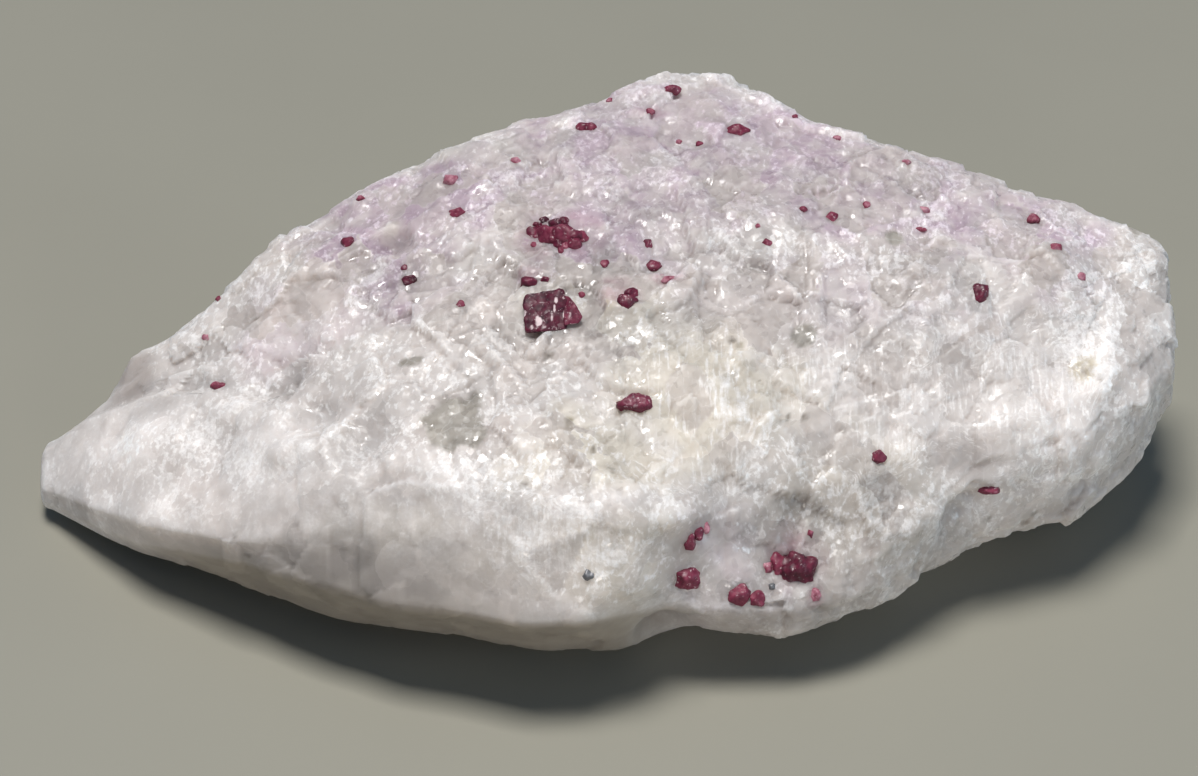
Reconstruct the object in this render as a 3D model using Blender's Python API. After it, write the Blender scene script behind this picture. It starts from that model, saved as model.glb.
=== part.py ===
"""A hand specimen: spinel crystals in white calcite marble.

The marble is one broken lump, 63 mm long. Its skin is stretched over eleven lines that run from
the thin nose at the left to the blunt right end. Each spinel crystal is a solid of its own, in a
pocket of the marble. Lengths are in millimetres here, and become metres when a mesh is made.
"""

import math

import bmesh
import bpy
import numpy as np
from mathutils import Matrix, Quaternion, Vector
from mathutils.bvhtree import BVHTree

MM = 0.001

# The lines of the skin, in their order around the lump. Each knot is along it, away from its front, up.
LOWER_EDGE = (
    (-30.7, -1.8, 0.7), (-25.3, -6.0, 1.0), (-20.3, -8.4, 1.3), (-13.5, -11.7, 1.5), (-9.1, -12.4, 1.4),
    (-2.8, -14.2, 1.5), (1.4, -14.0, 1.5), (4.4, -12.6, 2.2), (9.6, -14.5, 3.0), (14.4, -12.6, 3.2),
    (19.7, -8.6, 3.6), (25.5, -6.8, 4.2), (29.8, -2.6, 4.8), (31.6, 2.0, 5.2),
)
LEDGE = (
    (-30.6, -2.2, 1.5), (-25.0, -7.4, 3.0), (-18.5, -11.3, 5.2), (-14.1, -14.1, 6.0), (-10.6, -15.6, 6.0),
    (-7.7, -16.3, 6.3), (-3.9, -17.6, 6.5), (-0.7, -17.2, 6.5), (3.2, -14.6, 5.2), (9.4, -15.0, 5.1),
    (14.2, -13.0, 5.0), (19.5, -8.8, 5.2), (25.2, -7.0, 5.8), (29.4, -2.8, 6.2), (31.4, 1.2, 6.6),
)
SHOULDER = (
    (-30.5, -2.2, 2.5), (-24.6, -8.1, 5.3), (-19.9, -10.9, 6.7), (-15.1, -12.5, 8.0), (-10.7, -13.7, 8.9),
    (-4.6, -15.9, 8.6), (0.1, -16.7, 8.1), (1.9, -16.2, 8.0), (3.8, -14.1, 7.2), (9.3, -14.0, 6.5),
    (14.0, -12.9, 7.0), (19.3, -9.4, 8.4), (24.9, -7.0, 9.4), (29.0, -3.8, 10.2), (31.1, -0.6, 9.6),
)
NOSE_RIDGE = (
    (-30.6, 0.1, 3.6), (-28.9, 0.3, 5.3), (-26.1, -0.2, 7.2), (-24.5, -0.8, 8.2), (-22.0, -1.5, 9.1),
    (-19.7, -2.9, 9.8), (-17.7, -5.2, 10.3), (-15.6, -8.1, 11.0), (-9.2, -11.5, 11.8), (-4.0, -13.7, 11.8),
    (1.1, -14.9, 11.6), (4.0, -14.2, 11.1), (6.2, -12.2, 10.0), (13.0, -9.8, 10.0), (16.4, -8.9, 11.0),
    (19.4, -7.4, 10.7), (22.2, -6.6, 11.6), (24.8, -4.8, 11.2), (27.2, -3.9, 12.0), (29.2, -1.4, 11.5),
    (31.1, 1.4, 11.0),
)
TROUGH = (
    (-30.5, 0.8, 3.6), (-28.3, 1.0, 5.3), (-24.2, 0.4, 7.9), (-20.8, -1.2, 9.3), (-18.7, -1.2, 10.2),
    (-17.0, -1.9, 11.2), (-13.7, -5.0, 12.6), (-7.6, -7.7, 13.4), (-1.5, -8.2, 13.8), (7.6, -8.2, 13.3),
    (10.4, -6.9, 12.8), (15.7, -5.4, 12.8), (24.6, -1.1, 12.9), (29.5, 2.3, 12.6), (31.2, 4.0, 11.8),
)
UPPER_FACE = (
    (-30.5, 1.2, 3.1), (-28.3, 1.5, 5.1), (-26.6, 1.3, 7.0), (-23.6, 1.5, 9.5), (-18.3, 1.9, 12.4),
    (-13.9, 1.1, 14.4), (-7.9, 1.3, 15.6), (0.1, 2.0, 16.4), (7.6, 2.6, 16.6), (16.1, 1.6, 16.0),
    (24.9, 2.0, 14.6), (29.5, 3.9, 13.4), (31.1, 5.4, 12.4),
)
CREST = (
    (-30.4, 1.5, 2.6), (-28.2, 1.9, 4.6), (-27.1, 2.1, 5.8), (-26.6, 2.5, 7.5), (-25.9, 2.9, 8.4),
    (-24.9, 3.0, 8.7), (-23.1, 3.4, 9.7), (-20.6, 4.0, 11.9), (-18.5, 5.0, 13.5), (-16.4, 6.8, 14.4),
    (-13.3, 8.3, 15.3), (-9.2, 10.3, 16.3), (-5.2, 12.2, 16.9), (-2.6, 13.0, 17.2), (-0.6, 14.1, 17.8),
    (3.8, 17.0, 18.2), (6.8, 17.0, 18.2), (10.6, 14.2, 17.7), (14.3, 11.4, 17.0), (19.0, 9.4, 16.2),
    (22.3, 8.6, 15.6), (26.2, 8.0, 14.8), (29.0, 6.9, 13.8), (30.7, 6.7, 12.9),
)
BACK_EDGE = (
    (-29.8, 1.9, 2.0), (-26.4, 4.2, 5.0), (-22.5, 6.2, 7.0), (-15.0, 9.6, 10.0), (-8.0, 14.4, 11.6),
    (-1.0, 16.6, 11.0), (4.5, 18.8, 12.4), (12.0, 15.9, 11.6), (19.0, 12.2, 11.8), (25.0, 11.2, 9.4),
    (31.0, 8.2, 8.6),
)
BACK_FOOT = (
    (-29.4, 1.6, 1.2), (-26.0, 3.6, 2.4), (-22.5, 5.6, 2.8), (-15.0, 9.4, 2.4), (-6.0, 15.6, 2.2),
    (4.0, 19.0, 3.0), (13.0, 15.0, 2.4), (21.0, 12.6, 3.4), (28.0, 9.6, 3.4), (31.2, 7.2, 5.2),
)
BASE_BACK = (
    (-29.2, 0.9, 0.6), (-23.0, 2.5, 0.8), (-17.0, 6.0, -0.4), (-8.0, 12.4, -0.5), (3.0, 16.2, -0.5),
    (12.0, 13.0, -0.5), (20.0, 10.2, -0.4), (27.0, 7.4, 0.8), (31.0, 6.0, 4.2),
)
BASE_FRONT = (
    (-29.4, -0.6, 0.5), (-24.0, -3.2, 1.2), (-18.0, -5.0, -0.3), (-9.0, -9.3, -0.5), (0.0, -10.6, -0.5),
    (10.0, -9.2, -0.5), (19.0, -4.2, -0.4), (26.0, -1.4, 0.8), (31.2, 3.4, 4.4),
)
LINES = (
    LOWER_EDGE, LEDGE, SHOULDER, NOSE_RIDGE, TROUGH, UPPER_FACE,
    CREST, BACK_EDGE, BACK_FOOT, BASE_BACK, BASE_FRONT,
)
# Mesh steps from each line to the next one, and how rough the marble is along each line, from 0 to 1.
STEPS_AROUND = (2, 3, 3, 4, 7, 8, 4, 5, 2, 6, 3)
ROUGHNESS_OF_LINES = (0.45, 0.4, 0.5, 0.75, 1.0, 1.0, 0.8, 1.7, 1.2, 0.2, 0.2)
STEPS_ALONG = 62
NOSE_CAP_STEPS = 3
END_CAP_STEPS = 5
NOSE_CAP_BULGE = 1.0
END_CAP_BULGE = 0.55
SOFT_ALONG = (-0.008, 0.0, 0.008)
SOFT_AROUND = (-0.11, 0.0, 0.11)
# Steps that give the skin's direction, and how far from each pole the last one is taken.
DIFFERENCE_ALONG = 0.006
DIFFERENCE_AROUND = 0.12
POLE_MARGIN = 0.03
# The nose is smooth. Its relief grows from the first share to the whole between these two stations.
CALM_STATIONS = (0.03, 0.18)
CALM_SHARES = (0.2, 1.0)

# Relief of the broken marble: how wide its lumps and blocks are, and how far they stand out.
BROAD_LUMPS = (8.0, 0.55)
SMALL_LUMPS = (3.4, 0.32)
BLOCKS = (5.5, 0.13)
LATTICE = np.random.default_rng(5).random((7, 16, 16, 16))

# Hollows pressed into the face: centre, reach along x, y and z, and depth. A mound is below zero.
HOLLOWS = (
    ((9.6, -11.4, 7.4), (6.0, 4.5, 4.0), 1.0),
    ((-11.3, 3.6, 15.9), (1.6, 1.4, 2.0), 1.0),
    ((-15.0, -6.4, 11.0), (3.4, 1.9, 2.6), 0.9),
    ((-24.2, -3.9, 7.4), (5.5, 3.2, 3.0), -0.7),
    ((18.6, -9.0, 7.4), (2.6, 1.6, 1.5), 0.6),
    ((3.2, -13.6, 3.0), (1.8, 2.6, 2.6), 0.9),
    ((17.0, 12.6, 12.5), (5.0, 4.0, 3.0), 1.1),
    ((-9.0, 14.0, 7.0), (4.0, 3.0, 2.6), 0.9),
    ((-17.6, -2.7, 10.8), (2.6, 1.8, 2.4), 0.8),
    ((-12.4, -8.8, 11.6), (2.6, 2.2, 2.6), 0.8),
    ((-10.4, -11.9, 10.4), (2.6, 2.0, 2.6), 0.5),
    ((-19.8, -3.9, 9.6), (3.0, 1.5, 2.2), -0.5),
    ((-16.6, -7.9, 10.4), (2.2, 1.6, 2.2), -0.5),
)

# The crystals are laid out as seen from the front above, in millimetres right and up from a centre.
VIEW_TILT = math.radians(39.0)
VIEW_DISTANCE = 170.0
VIEW_CENTRE = Vector((0.0, 0.0, 8.0))
VIEW_RIGHT = Vector((1.0, 0.0, 0.0))
VIEW_UP = Vector((0.0, math.sin(VIEW_TILT), math.cos(VIEW_TILT)))
TOWARD_EYE = Vector((0.0, -math.cos(VIEW_TILT), math.sin(VIEW_TILT)))
EYE = VIEW_CENTRE + VIEW_DISTANCE * TOWARD_EYE
# A spot that lies just past the outline slides down in these steps until it meets the marble.
SLIDE_STEP = 0.1
SLIDE_STEPS = 30

# Each single crystal: right, up, width, height.
CRYSTALS = (
    (10.7, -9.8, 2.5, 1.8), (8.1, -11.5, 1.7, 1.2), (4.8, -10.4, 1.5, 1.3), (5.3, -8.2, 0.9, 1.3),
    (2.0, -0.9, 1.8, 1.0), (1.7, 5.0, 1.1, 1.2), (3.0, 6.7, 0.8, 0.8), (2.7, 7.9, 0.5, 0.6),
    (0.3, 6.8, 0.5, 0.5), (-3.9, 5.8, 0.8, 0.7), (-7.8, 9.6, 0.9, 0.7), (-7.6, 4.6, 0.5, 0.4),
    (-10.4, 5.9, 0.8, 0.6), (-10.7, 6.6, 0.4, 0.4), (-13.8, 8.0, 0.7, 0.7), (-20.9, 0.1, 1.0, 0.5),
    (-0.7, 14.3, 1.1, 0.7), (4.0, 16.4, 0.9, 0.5), (2.8, 15.2, 0.5, 0.4), (7.6, 14.1, 1.2, 0.8),
    (5.5, 13.4, 0.4, 0.4), (-4.6, 12.5, 0.5, 0.4), (-8.2, 11.4, 0.9, 0.7), (11.2, 9.8, 0.5, 0.4),
    (12.8, 9.4, 0.7, 0.7), (14.7, 10.0, 0.5, 0.5), (9.2, 8.0, 0.5, 0.4), (17.9, 9.8, 0.7, 0.4),
    (21.0, 5.2, 0.8, 1.0), (23.9, 9.3, 0.8, 0.5), (25.1, 7.7, 0.7, 0.5), (26.5, 6.1, 0.5, 0.5),
    (15.4, -3.8, 0.7, 0.7), (21.5, -5.6, 1.2, 0.5), (11.6, -8.0, 0.4, 0.5), (11.9, -11.4, 0.6, 0.8),
    (-0.95, 5.1, 0.35, 0.4), (17.7, 8.7, 0.7, 0.3), (-13.1, 10.4, 0.5, 0.4), (-20.9, 5.2, 0.4, 0.35),
    (-21.6, 2.8, 0.45, 0.35), (10.8, 14.9, 0.35, 0.3), (13.1, 13.7, 0.45, 0.3), (16.9, 12.4, 0.5, 0.3),
    (0.6, 15.8, 0.4, 0.3), (3.85, 5.9, 0.9, 0.4), (8.7, 8.9, 0.3, 0.3), (4.4, 13.5, 0.4, 0.35),
    (-2.95, 5.95, 0.5, 0.4),
)
# The large broken crystal: its outline about its own centre, then each level and its share of the outline.
LARGE_CRYSTAL_AT = (-2.6, 4.1)
LARGE_CRYSTAL_OUTLINE = (
    (-1.6, 0.8), (-1.4, 1.1), (0.8, 1.05), (1.6, -0.3), (0.95, -0.9), (-0.4, -1.15), (-1.4, -1.15),
)
LARGE_CRYSTAL_LEVELS = ((0.45, 0.9), (0.0, 1.0), (-1.8, 0.6))
# The crystals grown together in the cluster: right, up, width, height.
CLUSTER = (
    (-2.3, 8.4, 2.7, 1.5), (-3.0, 8.3, 1.6, 1.3), (-1.2, 8.2, 1.3, 1.2), (-2.9, 9.0, 1.0, 0.9),
    (-2.0, 9.0, 1.0, 0.9),
)
# Two grains of a grey mineral, each laid out like a crystal.
GREY_GRAIN = (-0.6, -10.3, 0.6, 0.6)
DARK_GRAIN = (9.5, -10.9, 0.35, 0.35)
CUT_CORNER = 0.3
SUNK = 0.12
WIDE_CRYSTAL = 1.2
WIDE_GAP = 0.3
SMALL_GAP = 0.15
# Seeds of the cluster's first crystal and of the two grains. The single crystals count from one.
CLUSTER_SEED = 100
GREY_GRAIN_SEED = 200
DARK_GRAIN_SEED = 201

MARBLE_COLOUR = (0.80, 0.77, 0.75)
SPINEL_COLOUR = (0.22, 0.012, 0.05)
GREY_GRAIN_COLOUR = (0.20, 0.20, 0.21)


def clear_scene():
    for thing in list(bpy.data.objects):
        bpy.data.objects.remove(thing, do_unlink=True)


def finish_material(name, colour, roughness, metallic=0.0):
    material = bpy.data.materials.new(name)
    material.use_nodes = True
    shader = material.node_tree.nodes["Principled BSDF"]
    shader.inputs["Base Color"].default_value = (*colour, 1.0)
    shader.inputs["Roughness"].default_value = roughness
    shader.inputs["Metallic"].default_value = metallic
    return material


def rails(stations):
    """Points of every line at stations from 0 at its left end to 1 at its right end, evenly spaced in x."""
    held = np.clip(stations, 0.0, 1.0)
    found = []
    for line in LINES:
        x, y, z = np.array(line).T
        at = x[0] + (x[-1] - x[0]) * held
        found.append(np.stack((at, np.interp(at, x, y), np.interp(at, x, z)), -1))
    return np.stack(found, 1)


def between_rails(points, places):
    """Straight from each line to the next: place 2.5 is half-way from the third line to the fourth."""
    count = points.shape[1]
    first = np.floor(places).astype(int)
    share = (places - first)[None, :, None]
    return points[:, first % count] * (1.0 - share) + points[:, (first + 1) % count] * share


def skin(stations, places):
    """A grid of points, each the mean of nine nearby places. Both ends close like a dome."""
    total = 0.0
    for along in SOFT_ALONG:
        moved = stations + along
        points = rails(moved)
        centre = points.mean(axis=1, keepdims=True)
        past_nose = np.clip(-moved, 0.0, 1.0)
        past_end = np.clip(moved - 1.0, 0.0, 1.0)
        kept = np.cos((past_nose + past_end) * math.pi / 2.0)[:, None, None]
        bulge = END_CAP_BULGE * np.sin(past_end * math.pi / 2.0)
        bulge -= NOSE_CAP_BULGE * np.sin(past_nose * math.pi / 2.0)
        for around in SOFT_AROUND:
            ring = centre + (between_rails(points, places + around) - centre) * kept
            ring[:, :, 0] += bulge[:, None]
            total = total + ring
    return total / (len(SOFT_ALONG) * len(SOFT_AROUND))


def outward(stations, places):
    """Unit normals of the skin, from differences along it and around it."""
    inner = np.clip(stations, POLE_MARGIN - 1.0, 2.0 - POLE_MARGIN)
    along = skin(inner + DIFFERENCE_ALONG, places) - skin(inner - DIFFERENCE_ALONG, places)
    around = skin(inner, places + DIFFERENCE_AROUND) - skin(inner, places - DIFFERENCE_AROUND)
    normals = np.cross(along, around)
    return normals / np.linalg.norm(normals, axis=-1, keepdims=True)


def lattice_value(cells, layer):
    """The seeded random number of each whole-number cell, from 0 to 1."""
    wrapped = cells % LATTICE.shape[1]
    return LATTICE[layer][wrapped[..., 0], wrapped[..., 1], wrapped[..., 2]]


def lumps(points, width, layer):
    """Smooth noise from -1 to 1: random values on a cubic lattice, blended with an S-shaped weight."""
    cell = np.floor(points / width).astype(int)
    share = points / width - cell
    share = share * share * (3.0 - 2.0 * share)
    total = 0.0
    for corner in np.ndindex(2, 2, 2):
        weight = np.prod(np.where(corner, share, 1.0 - share), axis=-1)
        total = total + weight * lattice_value(cell + np.array(corner), layer)
    return 2.0 * total - 1.0


def nearest_block(points, width):
    """The block whose random centre is nearest to each point, and the way from there in block widths."""
    cell = np.floor(points / width).astype(int)
    nearest = np.full(points.shape[:-1], np.inf)
    chosen = np.zeros_like(cell)
    way = np.zeros(points.shape)
    for offset in np.ndindex(3, 3, 3):
        other = cell + np.array(offset) - 1
        jitter = np.stack([lattice_value(other, layer) for layer in (0, 1, 2)], -1)
        away = points / width - (other + jitter)
        distance = (away**2).sum(-1)
        closer = distance < nearest
        nearest = np.where(closer, distance, nearest)
        chosen = np.where(closer[..., None], other, chosen)
        way = np.where(closer[..., None], away, way)
    return chosen, way


def blocks(points, width):
    """Flat tilted faces: each point takes the height of the plane through its nearest block's centre."""
    block, way = nearest_block(points, width)
    tilt = np.stack([lattice_value(block, layer) for layer in (3, 4, 5)], -1) * 2.0 - 1.0
    return (tilt * way).sum(-1) * 2.0 + lattice_value(block, 6) * 2.0 - 1.0


def hollows(points):
    """How deep the listed hollows are at each point: a round dip that fades out at its reach."""
    depth = 0.0
    for centre, reach, deep in HOLLOWS:
        away = (((points - np.array(centre)) / np.array(reach)) ** 2).sum(-1)
        depth = depth + deep * np.clip(1.0 - away, 0.0, 1.0) ** 2
    return depth


def marble_points(stations, places):
    """The skin with its relief pushed out along the normals, and the flat where it meets the table."""
    base = skin(stations, places)
    rough = np.interp(places, range(len(LINES) + 1), ROUGHNESS_OF_LINES + ROUGHNESS_OF_LINES[:1])
    relief = BROAD_LUMPS[1] * lumps(base, BROAD_LUMPS[0], 0)
    relief = relief + SMALL_LUMPS[1] * lumps(base, SMALL_LUMPS[0], 1)
    relief = relief + BLOCKS[1] * blocks(base, BLOCKS[0])
    calm = np.interp(stations, CALM_STATIONS, CALM_SHARES)
    relief = relief * rough[None, :] * calm[:, None] - hollows(base)
    points = base + outward(stations, places) * relief[..., None]
    points[..., 2] = np.maximum(points[..., 2], 0.0)
    return points


def grid_places():
    """Stations along the lump, caps included, and places around it."""
    nose = np.linspace(-1.0, 0.0, NOSE_CAP_STEPS, endpoint=False)
    body = np.linspace(0.0, 1.0, STEPS_ALONG, endpoint=False)
    end = np.linspace(1.0, 2.0, END_CAP_STEPS + 1)
    around = [line + np.arange(steps) / steps for line, steps in enumerate(STEPS_AROUND)]
    return np.concatenate((nose, body, end)), np.concatenate(around)


def closed_faces(rows, columns):
    """Quads between neighbouring rings, and a fan at each pole, the first and the last point."""
    last = 1 + rows * columns
    faces = []
    for column in range(columns):
        beside = (column + 1) % columns
        faces.append((0, 1 + column, 1 + beside))
        faces.append((last, last - columns + beside, last - columns + column))
    for row in range(rows - 1):
        start = 1 + row * columns
        for column in range(columns):
            beside = (column + 1) % columns
            after = start + columns
            faces.append((start + column, after + column, after + beside, start + beside))
    return faces


def object_from(name, points, faces, material):
    """A mesh object in metres with its faces pointing out."""
    mesh = bpy.data.meshes.new(name)
    mesh.from_pydata([Vector(point) * MM for point in points], [], faces)
    shape = bmesh.new()
    shape.from_mesh(mesh)
    bmesh.ops.triangulate(shape, faces=shape.faces[:])
    bmesh.ops.recalc_face_normals(shape, faces=shape.faces[:])
    shape.to_mesh(mesh)
    shape.free()
    if material:
        mesh.materials.append(material)
    thing = bpy.data.objects.new(name, mesh)
    bpy.context.scene.collection.objects.link(thing)
    return thing


def marble_lump(material):
    """The whole lump before its pockets are cut, and a search tree of its surface in millimetres."""
    stations, places = grid_places()
    grid = marble_points(stations, places)
    rings = grid[1:-1].reshape(-1, 3)
    points = np.concatenate((grid[:1, :1].reshape(1, 3), rings, grid[-1:, :1].reshape(1, 3)))
    faces = closed_faces(len(stations) - 2, len(places))
    lump = object_from("marble_matrix", points, faces, material)
    return lump, BVHTree.FromPolygons(points.tolist(), faces)


def seat(surface, right, up):
    """The place and outward direction where the line of sight through (right, up) meets the marble."""
    for step in range(SLIDE_STEPS):
        through = VIEW_CENTRE + right * VIEW_RIGHT + (up - step * SLIDE_STEP) * VIEW_UP
        place, normal, _, _ = surface.ray_cast(EYE, (through - EYE).normalized())
        if place:
            return place, normal
    raise ValueError(f"the marble isn't met near {right}, {up}")


def hull(points):
    """Corners and faces of the convex body around some points, the points counted from its centre."""
    shape = bmesh.new()
    corners = [shape.verts.new(point) for point in points]
    made = bmesh.ops.convex_hull(shape, input=corners)
    unused = [thing for thing in made["geom_interior"] if isinstance(thing, bmesh.types.BMVert)]
    bmesh.ops.delete(shape, geom=unused, context="VERTS")
    bmesh.ops.recalc_face_normals(shape, faces=shape.faces[:])
    shape.verts.index_update()
    corners = [vert.co.copy() for vert in shape.verts]
    faces = [tuple(vert.index for vert in face.verts) for face in shape.faces]
    nearest = min(abs(face.normal.dot(face.verts[0].co)) for face in shape.faces)
    shape.free()
    return corners, faces, nearest


def octahedron(wide):
    """Corners of an octahedron; a wide crystal has each corner cut back to a small square face."""
    corners = []
    for axis in range(3):
        for side in (-1.0, 1.0):
            for other in range(1, 3):
                for turned in (-1.0, 1.0):
                    point = Vector((0.0, 0.0, 0.0))
                    point[axis] = side * (1.0 - CUT_CORNER if wide else 1.0)
                    point[(axis + other) % 3] = turned * CUT_CORNER if wide else 0.0
                    corners.append(point)
    return corners if wide else corners[::4]


def random_turn(seed):
    random = np.random.default_rng(seed)
    return Quaternion(random.normal(size=4)).normalized().to_matrix()


def crystal_shape(width, height, seed):
    """A turned octahedron, stretched to the width and the height that it shows."""
    turned = [random_turn(seed) @ corner for corner in octahedron(width >= WIDE_CRYSTAL)]
    deep = (width + height) / 2.0
    spans = [max(abs(point[axis]) for point in turned) for axis in range(3)]
    sizes = (width / 2.0 / spans[0], height / 2.0 / spans[1], deep / 2.0 / spans[2])
    return [Vector((point[0] * sizes[0], point[1] * sizes[1], point[2] * sizes[2])) for point in turned]


def large_crystal_shape():
    """The broken crystal: its flat outline in three levels, from the outer face to the sunken end."""
    return [
        Vector((right * scale, up * scale, level))
        for level, scale in LARGE_CRYSTAL_LEVELS
        for right, up in LARGE_CRYSTAL_OUTLINE
    ]


def facing(outwards):
    """A frame with x to the right and z half-way between the surface's own direction and the eye's."""
    out = (outwards + TOWARD_EYE).normalized()
    up = out.cross(VIEW_RIGHT).normalized()
    return Matrix((up.cross(out), up, out)).transposed()


def place_crystal(surface, name, spot, shape, sunk, gap, material, cutters):
    """One crystal on its spot, and the slightly larger cutter that makes its pocket."""
    place, outwards = seat(surface, *spot)
    frame = facing(outwards)
    centre = place - frame.col[2] * sunk
    corners, faces, nearest = hull(shape)
    crystal = object_from(name, [centre + frame @ corner for corner in corners], faces, material)
    grown = 1.0 + gap / nearest
    pocket = [centre + frame @ corner * grown for corner in corners]
    cutter = object_from(name + "_pocket", pocket, faces, None)
    cutter.hide_render = True
    cutter.display_type = "WIRE"
    bpy.context.scene.collection.objects.unlink(cutter)
    cutters.objects.link(cutter)
    return crystal


def small_crystal(surface, name, crystal, seed, material, cutters):
    right, up, width, height = crystal
    gap = WIDE_GAP if width >= WIDE_CRYSTAL else SMALL_GAP
    shape = crystal_shape(width, height, seed)
    return place_crystal(surface, name, (right, up), shape, SUNK * height, gap, material, cutters)


def grow_together(name, members):
    """One solid from overlapping crystals: each further one is united with the first, then removed."""
    first = members[0]
    first.name = name
    for other in members[1:]:
        union = first.modifiers.new(other.name, "BOOLEAN")
        union.operation = "UNION"
        union.object = other
        bpy.context.view_layer.update()
        joined = bpy.data.meshes.new_from_object(first.evaluated_get(bpy.context.evaluated_depsgraph_get()))
        first.modifiers.clear()
        first.data = joined
        bpy.data.objects.remove(other, do_unlink=True)
    return first


def cut_pockets(lump, cutters):
    """Cut every pocket, then keep the result as the lump's own mesh."""
    cut = lump.modifiers.new("pockets", "BOOLEAN")
    cut.operation = "DIFFERENCE"
    cut.operand_type = "COLLECTION"
    cut.collection = cutters
    bpy.context.view_layer.update()
    lump.data = bpy.data.meshes.new_from_object(lump.evaluated_get(bpy.context.evaluated_depsgraph_get()))
    lump.modifiers.clear()
    for cutter in list(cutters.objects):
        bpy.data.objects.remove(cutter, do_unlink=True)


def settle(things):
    """Move everything together, so that the origin is at the middle of the bottom of the whole specimen."""
    corners = np.array([vert.co for thing in things for vert in thing.data.vertices])
    low = corners.min(axis=0)
    high = corners.max(axis=0)
    origin = Vector(((low[0] + high[0]) / 2.0, (low[1] + high[1]) / 2.0, low[2]))
    for thing in things:
        thing.data.transform(Matrix.Translation(-origin))


def main():
    clear_scene()
    marble = finish_material("calcite_marble", MARBLE_COLOUR, 0.45)
    spinel = finish_material("spinel", SPINEL_COLOUR, 0.18)
    grey = finish_material("grey_grain", GREY_GRAIN_COLOUR, 0.35, 0.6)
    cutters = bpy.data.collections.new("pockets")
    bpy.context.scene.collection.children.link(cutters)
    lump, surface = marble_lump(marble)
    things = [lump]
    shape = large_crystal_shape()
    large = place_crystal(surface, "large_spinel", LARGE_CRYSTAL_AT, shape, 0.0, WIDE_GAP, spinel, cutters)
    things.append(large)
    members = [
        small_crystal(surface, f"member_{number}", crystal, CLUSTER_SEED + number, spinel, cutters)
        for number, crystal in enumerate(CLUSTER)
    ]
    things.append(grow_together("spinel_cluster", members))
    for number, crystal in enumerate(CRYSTALS, 1):
        things.append(small_crystal(surface, f"spinel_{number:02d}", crystal, number, spinel, cutters))
    things.append(small_crystal(surface, "grey_grain", GREY_GRAIN, GREY_GRAIN_SEED, grey, cutters))
    things.append(small_crystal(surface, "dark_grain", DARK_GRAIN, DARK_GRAIN_SEED, grey, cutters))
    cut_pockets(lump, cutters)
    settle(things)


if __name__ == "__main__":
    main()
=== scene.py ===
# %% [markdown]
# # Spinel crystals in white marble
#
# The object is a broken chip of calcite marble, 63 mm long, with crimson spinel crystals grown in it.
# The solid frame already holds its true size and the place of every crystal. This lesson gives the
# marble its fine broken skin and its tints, and the crystals their worn faces.

import math

import bpy
import numpy as np
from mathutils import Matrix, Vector
from mathutils.bvhtree import BVHTree


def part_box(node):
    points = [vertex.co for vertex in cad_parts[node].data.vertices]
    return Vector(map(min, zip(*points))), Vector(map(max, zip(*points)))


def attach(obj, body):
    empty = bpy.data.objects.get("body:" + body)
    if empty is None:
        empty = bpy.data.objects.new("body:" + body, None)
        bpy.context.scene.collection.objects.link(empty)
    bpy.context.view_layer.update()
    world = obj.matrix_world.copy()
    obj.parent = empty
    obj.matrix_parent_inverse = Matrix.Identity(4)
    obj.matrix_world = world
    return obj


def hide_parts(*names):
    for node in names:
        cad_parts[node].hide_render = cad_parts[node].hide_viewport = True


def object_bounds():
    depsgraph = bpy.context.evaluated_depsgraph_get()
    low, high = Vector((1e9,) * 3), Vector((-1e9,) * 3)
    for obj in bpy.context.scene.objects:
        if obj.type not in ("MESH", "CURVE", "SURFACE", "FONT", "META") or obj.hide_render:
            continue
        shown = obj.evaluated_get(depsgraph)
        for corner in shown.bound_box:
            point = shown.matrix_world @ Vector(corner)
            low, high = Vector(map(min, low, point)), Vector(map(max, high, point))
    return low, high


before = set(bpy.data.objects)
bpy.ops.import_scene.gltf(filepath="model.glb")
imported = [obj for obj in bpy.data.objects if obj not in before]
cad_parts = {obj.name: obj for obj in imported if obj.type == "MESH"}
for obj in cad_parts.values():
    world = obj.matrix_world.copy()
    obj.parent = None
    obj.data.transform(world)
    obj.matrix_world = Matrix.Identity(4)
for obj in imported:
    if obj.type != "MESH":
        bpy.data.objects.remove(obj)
cad_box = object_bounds()
MM = 0.001
cad_size = np.ptp(cad_box, axis=0) / MM
print("the frame holds", len(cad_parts), "nodes in a box of", np.round(cad_size, 1), "mm")

# %% [markdown]
# ## The skin of the lump
#
# A broken stone has no axis and no profile, but it does have edges: the foot, the ledge under the
# smooth front face, its shoulder, the ridge of the nose, the crest. So the skin is a sheet stretched
# over eleven lines that run from the nose to the blunt end. A point of it takes two numbers: the
# station along the lump, and the place around it. The solid uses the same lines with wide steps, and
# here the steps are five times finer.

# %% The lines of the skin: x, y and z of each knot in millimetres
LOWER_EDGE = (
    (-30.7, -1.8, 0.7), (-25.3, -6.0, 1.0), (-20.3, -8.4, 1.3), (-13.5, -11.7, 1.5), (-9.1, -12.4, 1.4),
    (-2.8, -14.2, 1.5), (1.4, -14.0, 1.5), (4.4, -12.6, 2.2), (9.6, -14.5, 3.0), (14.4, -12.6, 3.2),
    (19.7, -8.6, 3.6), (25.5, -6.8, 4.2), (29.8, -2.6, 4.8), (31.6, 2.0, 5.2),
)
LEDGE = (
    (-30.6, -2.2, 1.5), (-25.0, -7.4, 3.0), (-18.5, -11.3, 5.2), (-14.1, -14.1, 6.0), (-10.6, -15.6, 6.0),
    (-7.7, -16.3, 6.3), (-3.9, -17.6, 6.5), (-0.7, -17.2, 6.5), (3.2, -14.6, 5.2), (9.4, -15.0, 5.1),
    (14.2, -13.0, 5.0), (19.5, -8.8, 5.2), (25.2, -7.0, 5.8), (29.4, -2.8, 6.2), (31.4, 1.2, 6.6),
)
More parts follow.
